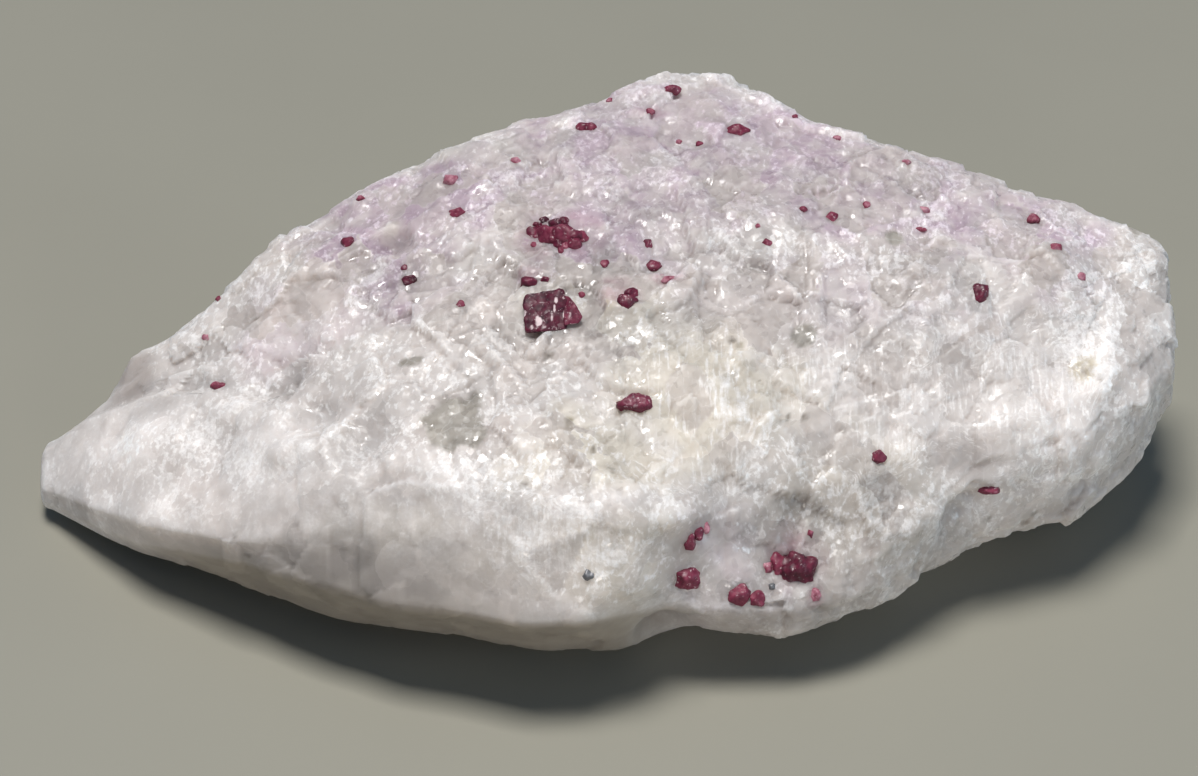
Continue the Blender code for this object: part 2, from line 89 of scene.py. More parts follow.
SHOULDER = (
    (-30.5, -2.2, 2.5), (-24.6, -8.1, 5.3), (-19.9, -10.9, 6.7), (-15.1, -12.5, 8.0), (-10.7, -13.7, 8.9),
    (-4.6, -15.9, 8.6), (0.1, -16.7, 8.1), (1.9, -16.2, 8.0), (3.8, -14.1, 7.2), (9.3, -14.0, 6.5),
    (14.0, -12.9, 7.0), (19.3, -9.4, 8.4), (24.9, -7.0, 9.4), (29.0, -3.8, 10.2), (31.1, -0.6, 9.6),
)
NOSE_RIDGE = (
    (-30.6, 0.1, 3.6), (-28.9, 0.3, 5.3), (-26.1, -0.2, 7.2), (-24.5, -0.8, 8.2), (-22.0, -1.5, 9.1),
    (-19.7, -2.9, 9.8), (-17.7, -5.2, 10.3), (-15.6, -8.1, 11.0), (-9.2, -11.5, 11.8), (-4.0, -13.7, 11.8),
    (1.1, -14.9, 11.6), (4.0, -14.2, 11.1), (6.2, -12.2, 10.0), (13.0, -9.8, 10.0), (16.4, -8.9, 11.0),
    (19.4, -7.4, 10.7), (22.2, -6.6, 11.6), (24.8, -4.8, 11.2), (27.2, -3.9, 12.0), (29.2, -1.4, 11.5),
    (31.1, 1.4, 11.0),
)
TROUGH = (
    (-30.5, 0.8, 3.6), (-28.3, 1.0, 5.3), (-24.2, 0.4, 7.9), (-20.8, -1.2, 9.3), (-18.7, -1.2, 10.2),
    (-17.0, -1.9, 11.2), (-13.7, -5.0, 12.6), (-7.6, -7.7, 13.4), (-1.5, -8.2, 13.8), (7.6, -8.2, 13.3),
    (10.4, -6.9, 12.8), (15.7, -5.4, 12.8), (24.6, -1.1, 12.9), (29.5, 2.3, 12.6), (31.2, 4.0, 11.8),
)
UPPER_FACE = (
    (-30.5, 1.2, 3.1), (-28.3, 1.5, 5.1), (-26.6, 1.3, 7.0), (-23.6, 1.5, 9.5), (-18.3, 1.9, 12.4),
    (-13.9, 1.1, 14.4), (-7.9, 1.3, 15.6), (0.1, 2.0, 16.4), (7.6, 2.6, 16.6), (16.1, 1.6, 16.0),
    (24.9, 2.0, 14.6), (29.5, 3.9, 13.4), (31.1, 5.4, 12.4),
)
CREST = (
    (-30.4, 1.5, 2.6), (-28.2, 1.9, 4.6), (-27.1, 2.1, 5.8), (-26.6, 2.5, 7.5), (-25.9, 2.9, 8.4),
    (-24.9, 3.0, 8.7), (-23.1, 3.4, 9.7), (-20.6, 4.0, 11.9), (-18.5, 5.0, 13.5), (-16.4, 6.8, 14.4),
    (-13.3, 8.3, 15.3), (-9.2, 10.3, 16.3), (-5.2, 12.2, 16.9), (-2.6, 13.0, 17.2), (-0.6, 14.1, 17.8),
    (3.8, 17.0, 18.2), (6.8, 17.0, 18.2), (10.6, 14.2, 17.7), (14.3, 11.4, 17.0), (19.0, 9.4, 16.2),
    (22.3, 8.6, 15.6), (26.2, 8.0, 14.8), (29.0, 6.9, 13.8), (30.7, 6.7, 12.9),
)
BACK_EDGE = (
    (-29.8, 1.9, 2.0), (-26.4, 4.2, 5.0), (-22.5, 6.2, 7.0), (-15.0, 9.6, 10.0), (-8.0, 14.4, 11.6),
    (-1.0, 16.6, 11.0), (4.5, 18.8, 12.4), (12.0, 15.9, 11.6), (19.0, 12.2, 11.8), (25.0, 11.2, 9.4),
    (31.0, 8.2, 8.6),
)
BACK_FOOT = (
    (-29.4, 1.6, 1.2), (-26.0, 3.6, 2.4), (-22.5, 5.6, 2.8), (-15.0, 9.4, 2.4), (-6.0, 15.6, 2.2),
    (4.0, 19.0, 3.0), (13.0, 15.0, 2.4), (21.0, 12.6, 3.4), (28.0, 9.6, 3.4), (31.2, 7.2, 5.2),
)
BASE_BACK = (
    (-29.2, 0.9, 0.6), (-23.0, 2.5, 0.8), (-17.0, 6.0, -0.4), (-8.0, 12.4, -0.5), (3.0, 16.2, -0.5),
    (12.0, 13.0, -0.5), (20.0, 10.2, -0.4), (27.0, 7.4, 0.8), (31.0, 6.0, 4.2),
)
BASE_FRONT = (
    (-29.4, -0.6, 0.5), (-24.0, -3.2, 1.2), (-18.0, -5.0, -0.3), (-9.0, -9.3, -0.5), (0.0, -10.6, -0.5),
    (10.0, -9.2, -0.5), (19.0, -4.2, -0.4), (26.0, -1.4, 0.8), (31.2, 3.4, 4.4),
)
LINES = (
    LOWER_EDGE, LEDGE, SHOULDER, NOSE_RIDGE, TROUGH, UPPER_FACE,
    CREST, BACK_EDGE, BACK_FOOT, BASE_BACK, BASE_FRONT,
)

# For each line, how rough the skin is there, and how many steps lead to the next line
ROUGHNESS_OF_LINES = (0.45, 0.4, 0.5, 0.75, 1.0, 1.0, 0.8, 1.7, 1.2, 0.2, 0.2)
SOLID_STEPS_AROUND = (2, 3, 3, 4, 7, 8, 4, 5, 2, 6, 3)
FINE_STEPS_AROUND = (14, 18, 20, 26, 56, 60, 22, 24, 8, 14, 12)
# Steps over the cap of the nose, along the body and over the cap of the blunt end
SOLID_STEPS_ALONG = (3, 62, 5)
FINE_STEPS_ALONG = (10, 310, 24)
NOSE_CAP_BULGE = 1.0
END_CAP_BULGE = 0.55
# How far the nine places of a mean, and the places that give a normal, lie from their point
SOFT_ALONG = (-0.008, 0.0, 0.008)
SOFT_AROUND = (-0.11, 0.0, 0.11)
NORMAL_STEP_ALONG = 0.006
NORMAL_STEP_AROUND = 0.12
POLE_MARGIN = 0.03
print(len(LINES), "lines with", sum(len(line) for line in LINES), "knots")

# %% [markdown]
# ## A point of the skin
#
# Straight strips between the lines would give knife edges, so each point is the mean of nine nearby
# ones. Past both ends the ring shrinks like the cosine of an angle while it moves out like its sine,
# which closes the lump with a low dome.

# %% The skin as a function of two parameters
def rails(stations):
    """Points of every line at stations from 0 at its left end to 1 at its right end, evenly spaced in x."""
    held = np.clip(stations, 0.0, 1.0)
    found = []
    for line in LINES:
        x, y, z = np.array(line).T
        at = x[0] + (x[-1] - x[0]) * held
        found.append(np.stack((at, np.interp(at, x, y), np.interp(at, x, z)), -1))
    return np.stack(found, 1)


def between_rails(points, places):
    """Straight from each line to the next: place 2.5 is half-way from the third line to the fourth."""
    count = points.shape[1]
    first = np.floor(places).astype(int)
    share = (places - first)[None, :, None]
    return points[:, first % count] * (1.0 - share) + points[:, (first + 1) % count] * share


def skin(stations, places):
    """Grid of points: the mean of nine places. Past the ends the rings shrink by cosine and bulge by sine."""
    total = 0.0
    for along in SOFT_ALONG:
        moved = stations + along
        points = rails(moved)
        centre = points.mean(axis=1, keepdims=True)
        past_nose = np.clip(-moved, 0.0, 1.0)
        past_end = np.clip(moved - 1.0, 0.0, 1.0)
        kept = np.cos((past_nose + past_end) * math.pi / 2.0)[:, None, None]
        bulge = END_CAP_BULGE * np.sin(past_end * math.pi / 2.0)
        bulge -= NOSE_CAP_BULGE * np.sin(past_nose * math.pi / 2.0)
        for around in SOFT_AROUND:
            ring = centre + (between_rails(points, places + around) - centre) * kept
            ring[:, :, 0] += bulge[:, None]
            total = total + ring
    return total / (len(SOFT_ALONG) * len(SOFT_AROUND))


def outward(stations, places):
    """Unit normals: the cross product of the differences along the skin and around it, off the poles."""
    inner = np.clip(stations, POLE_MARGIN - 1.0, 2.0 - POLE_MARGIN)
    along = skin(inner + NORMAL_STEP_ALONG, places) - skin(inner - NORMAL_STEP_ALONG, places)
    around = skin(inner, places + NORMAL_STEP_AROUND) - skin(inner, places - NORMAL_STEP_AROUND)
    return unit(np.cross(along, around))


def unit(vectors):
    """Each vector divided by its own length."""
    return vectors / np.maximum(np.linalg.norm(vectors, axis=-1, keepdims=True), 1e-12)


def grid_places(steps_along, steps_around):
    """Stations along the lump, with both caps, and places around it."""
    nose = np.linspace(-1.0, 0.0, steps_along[0], endpoint=False)
    body = np.linspace(0.0, 1.0, steps_along[1], endpoint=False)
    end = np.linspace(1.0, 2.0, steps_along[2] + 1)
    around = [line + np.arange(steps) / steps for line, steps in enumerate(steps_around)]
    return np.concatenate((nose, body, end)), np.concatenate(around)


def closed_faces(rows, columns):
    """Quads between neighbouring rings, and a fan at each pole, which are the first and the last point."""
    ring = 1 + np.arange(rows * columns).reshape(rows, columns)
    beside = np.roll(ring, -1, axis=1)
    quads = np.stack((ring[:-1], ring[1:], beside[1:], beside[:-1]), -1).reshape(-1, 4)
    nose = np.stack((np.zeros(columns, int), ring[0], beside[0]), -1)
    end = np.stack((np.full(columns, rows * columns + 1), beside[-1], ring[-1]), -1)
    return quads.tolist() + nose.tolist() + end.tolist()


def without_seams(grid):
    """The rings of a grid with its first and last row drawn together into one point each."""
    flat = grid[1:-1].reshape(-1, grid.shape[-1])
    return np.concatenate((grid[0, :1], flat, grid[-1, :1]))


print("a coarse skin has", skin(*grid_places(SOLID_STEPS_ALONG, SOLID_STEPS_AROUND)).shape, "numbers")

# %% [markdown]
# ## Relief, from lumps down to grains
#
# Marble breaks along its grains. Three kinds of relief are added up: smooth lumps, flat tilted blocks
# a few millimetres wide, and a few hollows and mounds with a place of their own. The solid has these
# too. The fine skin adds grains of 2.4 mm and 1.0 mm, each with its own small tilt, because every
# grain of calcite breaks along its own cleavage plane. All randomness comes from one seeded lattice.

# %% Relief as functions of place
# Seven layers of random numbers on a lattice, and what a layer is read for
LATTICE = np.random.default_rng(5).random((7, 16, 16, 16))
JITTER_LAYERS = (0, 1, 2)
TILT_LAYERS = (3, 4, 5)
LEVEL_LAYER = 6
# Lumps: height and width in millimetres, and layer
LUMPS = ((0.55, 8.0, 0), (0.32, 3.4, 1))
BLOCK_HEIGHT = 0.13
BLOCK_WIDTH = 5.5
GRAIN_HEIGHT = 0.14
GRAIN_WIDTH = 2.4
SMALL_GRAIN_HEIGHT = 0.06
SMALL_GRAIN_WIDTH = 1.0
# Above 1, so that grains fade faster than lumps where the skin is smooth
GRAINY_POWER = 1.5
# Pairs of a station and a share: the nose is calm, and grains show on the smooth front only at the right
CALM_ALONG = ((0.03, 0.2), (0.18, 1.0))
GRAINY_ALONG = ((0.56, 0.0), (0.66, 0.9))
# Hollows: centre, reach each way and depth. A depth below zero makes a mound.
HOLLOWS = (
    ((9.6, -11.4, 7.4), (6.0, 4.5, 4.0), 1.0),
    ((-11.3, 3.6, 15.9), (1.6, 1.4, 2.0), 1.0),
    ((-15.0, -6.4, 11.0), (3.4, 1.9, 2.6), 0.9),
    ((-24.2, -3.9, 7.4), (5.5, 3.2, 3.0), -0.7),
    ((18.6, -9.0, 7.4), (2.6, 1.6, 1.5), 0.6),
    ((3.2, -13.6, 3.0), (1.8, 2.6, 2.6), 0.9),
    ((17.0, 12.6, 12.5), (5.0, 4.0, 3.0), 1.1),
    ((-9.0, 14.0, 7.0), (4.0, 3.0, 2.6), 0.9),
    ((-17.6, -2.7, 10.8), (2.6, 1.8, 2.4), 0.8),
    ((-12.4, -8.8, 11.6), (2.6, 2.2, 2.6), 0.8),
    ((-10.4, -11.9, 10.4), (2.6, 2.0, 2.6), 0.5),
    ((-19.8, -3.9, 9.6), (3.0, 1.5, 2.2), -0.5),
    ((-16.6, -7.9, 10.4), (2.2, 1.6, 2.2), -0.5),
)


def lattice_value(cells, layer):
    """The seeded random number of each whole-number cell, from 0 to 1."""
    wrapped = cells % LATTICE.shape[1]
    return LATTICE[layer][wrapped[..., 0], wrapped[..., 1], wrapped[..., 2]]


def lumps(points, width, layer):
    """Smooth noise from -1 to 1: random values on a cubic lattice, blended with an S-shaped weight."""
    cell = np.floor(points / width).astype(int)
    share = points / width - cell
    share = share * share * (3.0 - 2.0 * share)
    total = 0.0
    for corner in np.ndindex(2, 2, 2):
        weight = np.prod(np.where(corner, share, 1.0 - share), axis=-1)
        total = total + weight * lattice_value(cell + np.array(corner), layer)
    return 2.0 * total - 1.0


def summed_lumps(points, kinds):
    """The sum of smooth noises, each with its height, its width and its layer."""
    return sum(height * lumps(points, width, layer) for height, width, layer in kinds)


def share_at(values, profile):
    """The share at each value, straight between the pairs of a place and a share."""
    places, shares = zip(*profile)
    return np.interp(values, places, shares)


def nearest_cell(points, width):
    """The cell whose random centre is nearest to each point, and the way from that centre in cell widths."""
    cell = np.floor(points / width).astype(int)
    nearest = np.full(points.shape[:-1], np.inf)
    chosen = np.zeros_like(cell)
    way = np.zeros(points.shape)
    for offset in np.ndindex(3, 3, 3):
        other = cell + np.array(offset) - 1
        jitter = np.stack([lattice_value(other, layer) for layer in JITTER_LAYERS], -1)
        away = points / width - (other + jitter)
        distance = (away**2).sum(-1)
        closer = distance < nearest
        nearest = np.where(closer, distance, nearest)
        chosen = np.where(closer[..., None], other, chosen)
        way = np.where(closer[..., None], away, way)
    return chosen, way


def random_way(cells):
    """A random vector of each cell, every part from -1 to 1."""
    return np.stack([lattice_value(cells, layer) for layer in TILT_LAYERS], -1) * 2.0 - 1.0


def blocks(points, width):
    """Flat tilted faces: each point takes the height of the plane through its nearest cell's centre."""
    cell, way = nearest_cell(points, width)
    return (random_way(cell) * way).sum(-1) * 2.0 + lattice_value(cell, LEVEL_LAYER) * 2.0 - 1.0


def hollows(points):
    """How deep the named hollows are at each point: a dip that fades out at its reach. Mounds are below 0."""
    depth = 0.0
    for centre, reach, deep in HOLLOWS:
        away = (((points - np.array(centre)) / np.array(reach)) ** 2).sum(-1)
        depth = depth + deep * np.clip(1.0 - away, 0.0, 1.0) ** 2
    return depth


def marble_grid(steps_along, steps_around, grainy):
    """Points of the lump: the skin, pushed along its normals by the relief, flat at the table."""
    stations, places = grid_places(steps_along, steps_around)
    base = skin(stations, places)
    normals = outward(stations, places)
    rough = share_at(places, enumerate(ROUGHNESS_OF_LINES + ROUGHNESS_OF_LINES[:1]))[None, :]
    calm = share_at(stations, CALM_ALONG)[:, None]
    relief = summed_lumps(base, LUMPS) + BLOCK_HEIGHT * blocks(base, BLOCK_WIDTH)
    relief = relief * rough * calm - hollows(base)
    if grainy:
        fine = GRAIN_HEIGHT * blocks(base, GRAIN_WIDTH)
        fine = fine + SMALL_GRAIN_HEIGHT * blocks(base, SMALL_GRAIN_WIDTH)
        grainy_right = share_at(stations, GRAINY_ALONG)[:, None]
        relief = relief + fine * np.maximum(np.minimum(rough, 1.0) ** GRAINY_POWER, grainy_right) * calm
    points = base + normals * relief[..., None]
    points[..., 2] = np.maximum(points[..., 2], 0.0)
    return points


solid_points = without_seams(marble_grid(SOLID_STEPS_ALONG, SOLID_STEPS_AROUND, False))
grid_points = marble_grid(FINE_STEPS_ALONG, FINE_STEPS_AROUND, True)
fine_points = without_seams(grid_points)
fine_faces = closed_faces(grid_points.shape[0] - 2, grid_points.shape[1])
print("the fine skin has", len(fine_points), "points and", len(fine_faces), "faces")

# %% [markdown]
# ## Into the frame
#
# The lines have an origin of their own. The solid marble's box says how far it was moved when the
# part was centred, so the same move takes the fine skin to the same place.

# %% The move from the lines to the frame
low, high = np.array(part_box("marble_matrix")) / MM
MOVE = (low + high) / 2.0 - (solid_points.min(axis=0) + solid_points.max(axis=0)) / 2.0
MOVE[2] = low[2] - solid_points[:, 2].min()
print("move", np.round(MOVE, 3), "mm")


def lay_mesh(name, points, faces, material, numbers):
    """A smooth mesh at the origin from points in millimetres; numbers are its named values per point."""
    mesh = bpy.data.meshes.new(name)
    mesh.from_pydata(((points + MOVE) * MM).tolist(), [], faces)
    for label, values in numbers.items():
        layer = mesh.attributes.new(label, "FLOAT", "POINT")
        layer.data.foreach_set("value", np.ascontiguousarray(values, dtype=np.float32))
    mesh.polygons.foreach_set("use_smooth", np.full(len(mesh.polygons), True))
    mesh.materials.append(material)
    mesh.update()
    piece = bpy.data.objects.new(name, mesh)
    bpy.context.scene.collection.objects.link(piece)
    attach(piece, "root")
    return piece


# %% [markdown]
# ## The view
#
# The photograph looks down at about 39 degrees from a hand's width away. The crystals and the tints
# are laid out as they show from there, in millimetres to the right and up from the middle, and a line
# of sight takes each one to its place on the skin. The camera stands at the same point.

# %% The eye and the camera
VIEW_TILT = math.radians(39.0)
VIEW_DISTANCE = 170.0
VIEW_WIDTH = 65.8
VIEW_CENTRE = np.array((0.0, 0.0, 8.0))
VIEW_RIGHT = np.array((1.0, 0.0, 0.0))
VIEW_UP = np.array((0.0, math.sin(VIEW_TILT), math.cos(VIEW_TILT)))
TOWARD_EYE = np.array((0.0, -math.cos(VIEW_TILT), math.sin(VIEW_TILT)))
EYE = VIEW_CENTRE + VIEW_DISTANCE * TOWARD_EYE
LOWER_TRIES = np.arange(0.0, 3.0, 0.1)
surface = BVHTree.FromPolygons(fine_points.tolist(), fine_faces)


def seat(right, up):
    """Where the line of sight through (right, up), or just below it, meets the skin, and the normal there."""
    for lower in LOWER_TRIES:
        through = VIEW_CENTRE + right * VIEW_RIGHT + (up - lower) * VIEW_UP
        place, normal, _, _ = surface.ray_cast(Vector(EYE), Vector(through - EYE).normalized())
        if place:
            return np.array(place), np.array(normal)
    raise ValueError(f"no skin near {right}, {up}")


def aim(thing, place, target):
    """Stand a camera or a light at a place, in millimetres before the move, and turn it to the target."""
    thing.location = Vector((place + MOVE) * MM)
    thing.rotation_euler = Vector(target - place).to_track_quat("-Z", "Y").to_euler()


camera_data = bpy.data.cameras.new("camera")
camera_data.sensor_width = 36.0
camera_data.lens = camera_data.sensor_width * VIEW_DISTANCE / VIEW_WIDTH
camera_data.clip_start = 0.01
camera = bpy.data.objects.new("camera", camera_data)
bpy.context.scene.collection.objects.link(camera)
aim(camera, EYE, VIEW_CENTRE)
bpy.context.scene.camera = camera
print("lens", round(camera_data.lens, 1), "mm")

# %% [markdown]
# ## Where the marble changes colour
#
# The marble isn't one white. A lilac tint follows the top, the middle is a warm cream, some grains
# are clear and look grey, and others are milky with tiny cracks. Such a change is a soft round zone
# with a place in the view, a width, a height and a strength. Noise frays its rim, and single grains
# add their own share. Painted light and painted shade are laid out as zones too. What follows the
# shape of the lump, such as the silky front and the painted shade on the foot, is a band instead: a
# profile around the lump, times a profile along it.

# %% Zones of tint: right and up in the view, width, height and strength
ROSE_ZONES = (
    (5.0, 14.2, 19.0, 6.5, 1.0), (14.9, 10.9, 18.0, 6.0, 0.85), (23.7, 8.7, 10.0, 5.5, 0.7),
    (-11.7, 8.4, 8.5, 6.0, 1.4), (-8.2, 10.9, 9.0, 4.0, 1.1), (2.3, 11.0, 26.0, 6.0, 0.75),
    (-0.5, 7.6, 10.0, 4.5, 0.7), (3.5, 10.2, 4.0, 2.5, 0.8), (6.6, -10.0, 8.0, 4.0, 0.3),
    (-9.5, 5.0, 7.0, 2.4, 0.6), (12.0, 5.5, 20.0, 4.0, 0.3), (-17.0, 3.5, 7.0, 4.0, 0.3),
)
PINK_SPOTS = (
    (2.8, 15.2, 2.0, 0.5, 0.35), (3.7, 6.1, 1.6, 0.7, 0.5), (11.8, -11.4, 1.0, 1.0, 0.5),
    (5.3, -8.3, 1.3, 1.4, 0.4), (1.4, 5.1, 2.2, 1.3, 0.5), (-2.5, 8.3, 4.0, 2.4, 0.3),
    (-4.0, 6.4, 1.5, 0.7, 0.3), (0.9, 5.9, 1.6, 0.6, 0.5), (10.7, -9.6, 3.2, 2.2, 0.4),
)
WARM_ZONES = (
    (5.5, -0.1, 10.0, 7.0, 0.5), (-2.1, 5.1, 7.0, 3.0, 0.35), (0.7, 4.8, 1.2, 0.8, 1.0),
    (-1.5, 5.5, 0.8, 0.6, 1.0), (26.7, 1.2, 1.2, 1.0, 1.0), (7.7, 2.3, 0.6, 0.5, 1.0),
    (-1.6, -1.9, 0.6, 0.6, 1.0), (-6.5, -13.2, 14.0, 2.0, 0.3), (0.0, -3.6, 9.0, 4.0, 0.5),
    (1.7, 4.5, 5.0, 4.0, 0.4), (2.0, -10.0, 8.0, 4.0, 0.45), (14.0, -6.5, 10.0, 4.0, 0.35),
    (-14.0, -9.8, 10.0, 2.4, 0.4),
)
CLEAR_ZONES = (
    (-8.1, -2.2, 3.6, 2.7, 0.7), (-10.4, 1.4, 1.8, 0.7, 0.7), (10.8, 2.8, 2.0, 1.8, 0.8),
    (16.2, 8.2, 1.2, 1.0, 0.9), (17.1, 6.3, 1.2, 0.8, 0.9), (-11.6, 8.7, 1.8, 1.6, 1.0),
    (-25.6, 0.6, 2.6, 3.2, 1.1), (28.0, -3.9, 6.0, 4.0, 0.35), (19.9, -3.9, 4.5, 1.4, 0.8),
    (-2.5, 10.6, 5.0, 2.0, 0.6), (-14.5, 5.5, 4.0, 2.5, 0.6), (5.9, 4.3, 3.5, 1.6, 0.8),
    (-1.5, 5.7, 2.4, 0.7, 0.7), (-9.6, 5.6, 3.0, 1.2, 0.7), (15.0, 2.6, 2.4, 1.4, 0.7),
    (8.4, 6.4, 2.6, 1.2, 0.7), (24.6, -1.0, 2.0, 2.0, 0.6), (9.9, -8.3, 11.0, 6.0, 0.35),
    (29.6, 6.3, 2.4, 2.4, 0.3),
)
MILK_ZONES = (
    (-20.8, -2.3, 9.0, 4.5, 0.9), (-6.5, -4.5, 7.0, 3.0, 0.6), (-2.1, -9.4, 11.0, 4.0, 0.4),
    (15.0, -7.0, 9.0, 3.0, 0.6), (8.0, -12.0, 7.0, 2.0, 0.7), (22.0, -4.5, 6.0, 3.0, 0.5),
    (-19.5, -1.0, 7.0, 1.0, 1.0), (-15.5, -3.6, 4.0, 1.0, 0.8), (-24.5, -2.6, 5.0, 1.2, 0.8),
    (20.0, 2.0, 10.0, 6.0, 0.3), (12.0, 2.0, 6.0, 4.0, 0.3), (28.0, 3.5, 8.0, 10.0, 0.6),
)
print("zones of tint:", len(ROSE_ZONES + PINK_SPOTS + WARM_ZONES + CLEAR_ZONES + MILK_ZONES))

# %% Zones of painted light and shade, glassy grains, fibrous places and stains
# Painted light: the right end, the lower front, the middle and the nose made brighter than the lamps leave
# them
PAINTED_LIGHT_ZONES = (
    (24.8, -3.4, 8.0, 4.0, 0.8), (29.0, 4.0, 6.0, 12.0, 0.35), (21.5, -6.7, 4.0, 3.0, 1.1),
    (-21.5, -1.2, 7.0, 2.0, 0.5), (6.5, -2.0, 7.0, 4.0, 0.3), (-9.0, -2.4, 0.9, 0.6, 1.0),
    (-26.3, -3.4, 6.0, 4.0, 1.2), (-16.4, 3.2, 7.0, 3.0, 0.9), (0.0, -10.0, 7.0, 3.0, 0.6),
    (28.0, -3.5, 3.0, 3.5, 1.0), (-23.0, -7.0, 10.0, 4.0, 0.9), (-18.0, -3.6, 6.0, 5.0, 0.7),
)
# Painted shade in the hollows, under the ledge and on the lower right front, and a darker tone of the stone
# in the other places
SHADE_AND_TONE_ZONES = (
    (-1.6, 6.5, 10.0, 3.4, 1.6), (-11.7, 5.8, 4.0, 5.0, 0.8), (2.6, 3.4, 8.0, 3.6, 1.6),
    (-14.8, -0.1, 10.0, 3.4, 0.5), (-9.5, 0.0, 6.0, 2.2, 0.6), (-6.5, -6.7, 6.0, 3.0, 0.4),
    (14.9, -6.7, 4.5, 3.0, 1.2), (8.3, 6.6, 10.0, 3.0, 0.9), (5.0, 12.5, 36.0, 7.0, 0.45),
    (1.7, 9.8, 4.0, 3.5, 0.9), (8.3, 9.8, 3.5, 3.5, 0.8), (8.3, -0.1, 3.5, 3.0, 1.1),
    (10.6, -9.0, 8.0, 5.0, 1.4), (-15.0, -9.4, 7.0, 1.7, 1.8), (-11.0, -10.4, 7.0, 2.0, 1.1),
    (-14.8, -3.4, 4.0, 3.0, 0.7), (2.0, -3.4, 4.0, 3.0, 0.6), (17.0, 5.0, 16.0, 5.0, 0.6),
    (7.0, -4.0, 3.0, 3.0, 0.3), (-26.0, 3.0, 3.5, 3.0, 0.5),
)
GLASSY_GRAINS = (
    (-7.9, -2.1, 4.6, 2.9, 1.0), (-10.4, 1.45, 2.4, 0.9, 1.0), (11.2, 2.9, 1.6, 1.3, 0.9),
    (16.2, 8.2, 1.5, 1.2, 0.8), (29.5, 9.2, 1.5, 1.6, 0.8),
)
FIBRE_ZONES = (
    (5.5, -0.5, 7.0, 6.5, 1.0), (-6.5, 3.4, 6.0, 3.0, 1.0), (14.0, -0.5, 8.0, 5.0, 0.9),
    (22.0, 0.0, 9.0, 5.0, 0.9), (7.2, -4.4, 1.5, 3.4, 1.0), (-3.0, -8.0, 8.0, 2.0, 0.7),
)
STAINS = (
    (-2.8, 1.8, 0.5, 0.4, 1.0), (-1.6, -1.9, 0.5, 0.5, 0.7), (26.7, 1.2, 0.9, 0.7, 0.6),
    (27.2, 4.7, 0.5, 0.4, 0.6), (7.7, 2.3, 0.4, 0.4, 0.7), (-19.3, -9.2, 0.45, 0.35, 0.9),
    (-20.0, -8.2, 0.3, 0.3, 0.7), (10.3, 6.1, 0.3, 0.3, 0.9), (11.1, 5.1, 0.3, 0.3, 0.9),
    (10.4, -1.6, 0.3, 0.3, 0.9), (11.3, -1.6, 0.3, 0.3, 0.9), (-7.2, 0.7, 0.3, 0.3, 0.9),
    (-4.1, -5.3, 0.3, 0.3, 0.9), (-0.3, -3.4, 0.3, 0.3, 0.8), (23.4, -7.4, 0.35, 0.3, 0.8),
    (23.9, -6.9, 0.35, 0.3, 0.8), (21.4, -7.2, 0.35, 0.3, 0.8), (7.3, 2.6, 0.25, 0.25, 0.8),
)
print("zones of light:", len(PAINTED_LIGHT_ZONES + SHADE_AND_TONE_ZONES), "and stains:", len(STAINS))

# %% Bands: pairs of a place and a share
# Around the lump a place counts the lines: 1 is the ledge, 2 the shoulder, 6 the crest, 11 the start again
# Grey laid into the clear number: most along the foot and the lower front, a little over the top and the
# back, none on the ridge and the trough, and less on the nose
GREY_AROUND = (
    (0.0, 0.5), (0.9, 0.7), (1.1, 0.45), (2.0, 0.3), (2.7, 0.0), (4.5, 0.0), (5.2, 0.1), (6.0, 0.2),
    (7.0, 0.2), (8.0, 0.3), (9.0, 0.4), (11.0, 0.5),
)
# Painted shade, with the brown of light bounced off the table, under the ledge and on the foot
FOOT_SHADE_AROUND = (
    (0.0, 1.0), (0.92, 1.0), (1.0, 0.75), (1.1, 0.35), (1.5, 0.0), (9.0, 0.0), (10.0, 0.8), (11.0, 1.0),
)
SILK_AROUND = ((0.9, 0.0), (1.0, 1.0), (1.6, 0.85), (2.1, 0.4), (2.5, 0.0))
COARSE_AROUND = (
    (0.0, 0.05), (1.0, 0.05), (1.8, 0.15), (2.2, 0.35), (3.0, 0.6), (3.6, 1.0), (6.0, 1.0), (9.0, 0.8),
    (10.0, 0.2), (11.0, 0.05),
)
COARSE_FRONT_AROUND = ((1.2, 0.0), (1.6, 1.0), (4.0, 1.0), (5.0, 0.0))
# Along the lump a place is x in millimetres, and over the top it is y
GREY_ALONG = ((-29.0, 0.15), (-20.0, 1.0))
FOOT_SHADE_ALONG = ((-28.0, 0.0), (-21.0, 1.0), (1.0, 1.0), (5.0, 0.15))
SILK_ALONG = ((-28.0, 0.0), (-21.0, 0.9), (-7.0, 1.0), (-2.0, 0.15))
COARSE_FRONT_ALONG = ((-25.0, 0.8), (-20.0, 0.8), (-15.0, 0.0), (-10.0, 0.0), (-6.0, 0.8))
COARSE_RIGHT_ALONG = ((4.0, 0.0), (9.0, 0.9))
CALM_NOSE_ALONG = ((-28.0, 0.7), (-17.0, 1.0))
CALM_TOP_ACROSS = ((4.0, 1.0), (11.0, 0.7))
print("the coarse band is given at", len(COARSE_AROUND), "places around the lump")

# %% The numbers that the finish of the marble reads
ZONE_CORE = 1.6
ZONE_FALL = 1.2
# Half of a height in the view, laid on the tilted face
HALF_HEIGHT_ON_FACE = 0.7
# Frayed rims: height, width in millimetres, and layer
ZONE_FRAY = ((0.45, 1.7, 2), (0.25, 0.7, 3))
SILK_FRAY = ((0.35, 1.8, 6),)
# Layers that give a grain its own share of each change
SHADE_LAYER = 2
SMALL_SHADE_LAYER = 3
CLEAR_LAYER = 4
MILKY_LAYER = 5
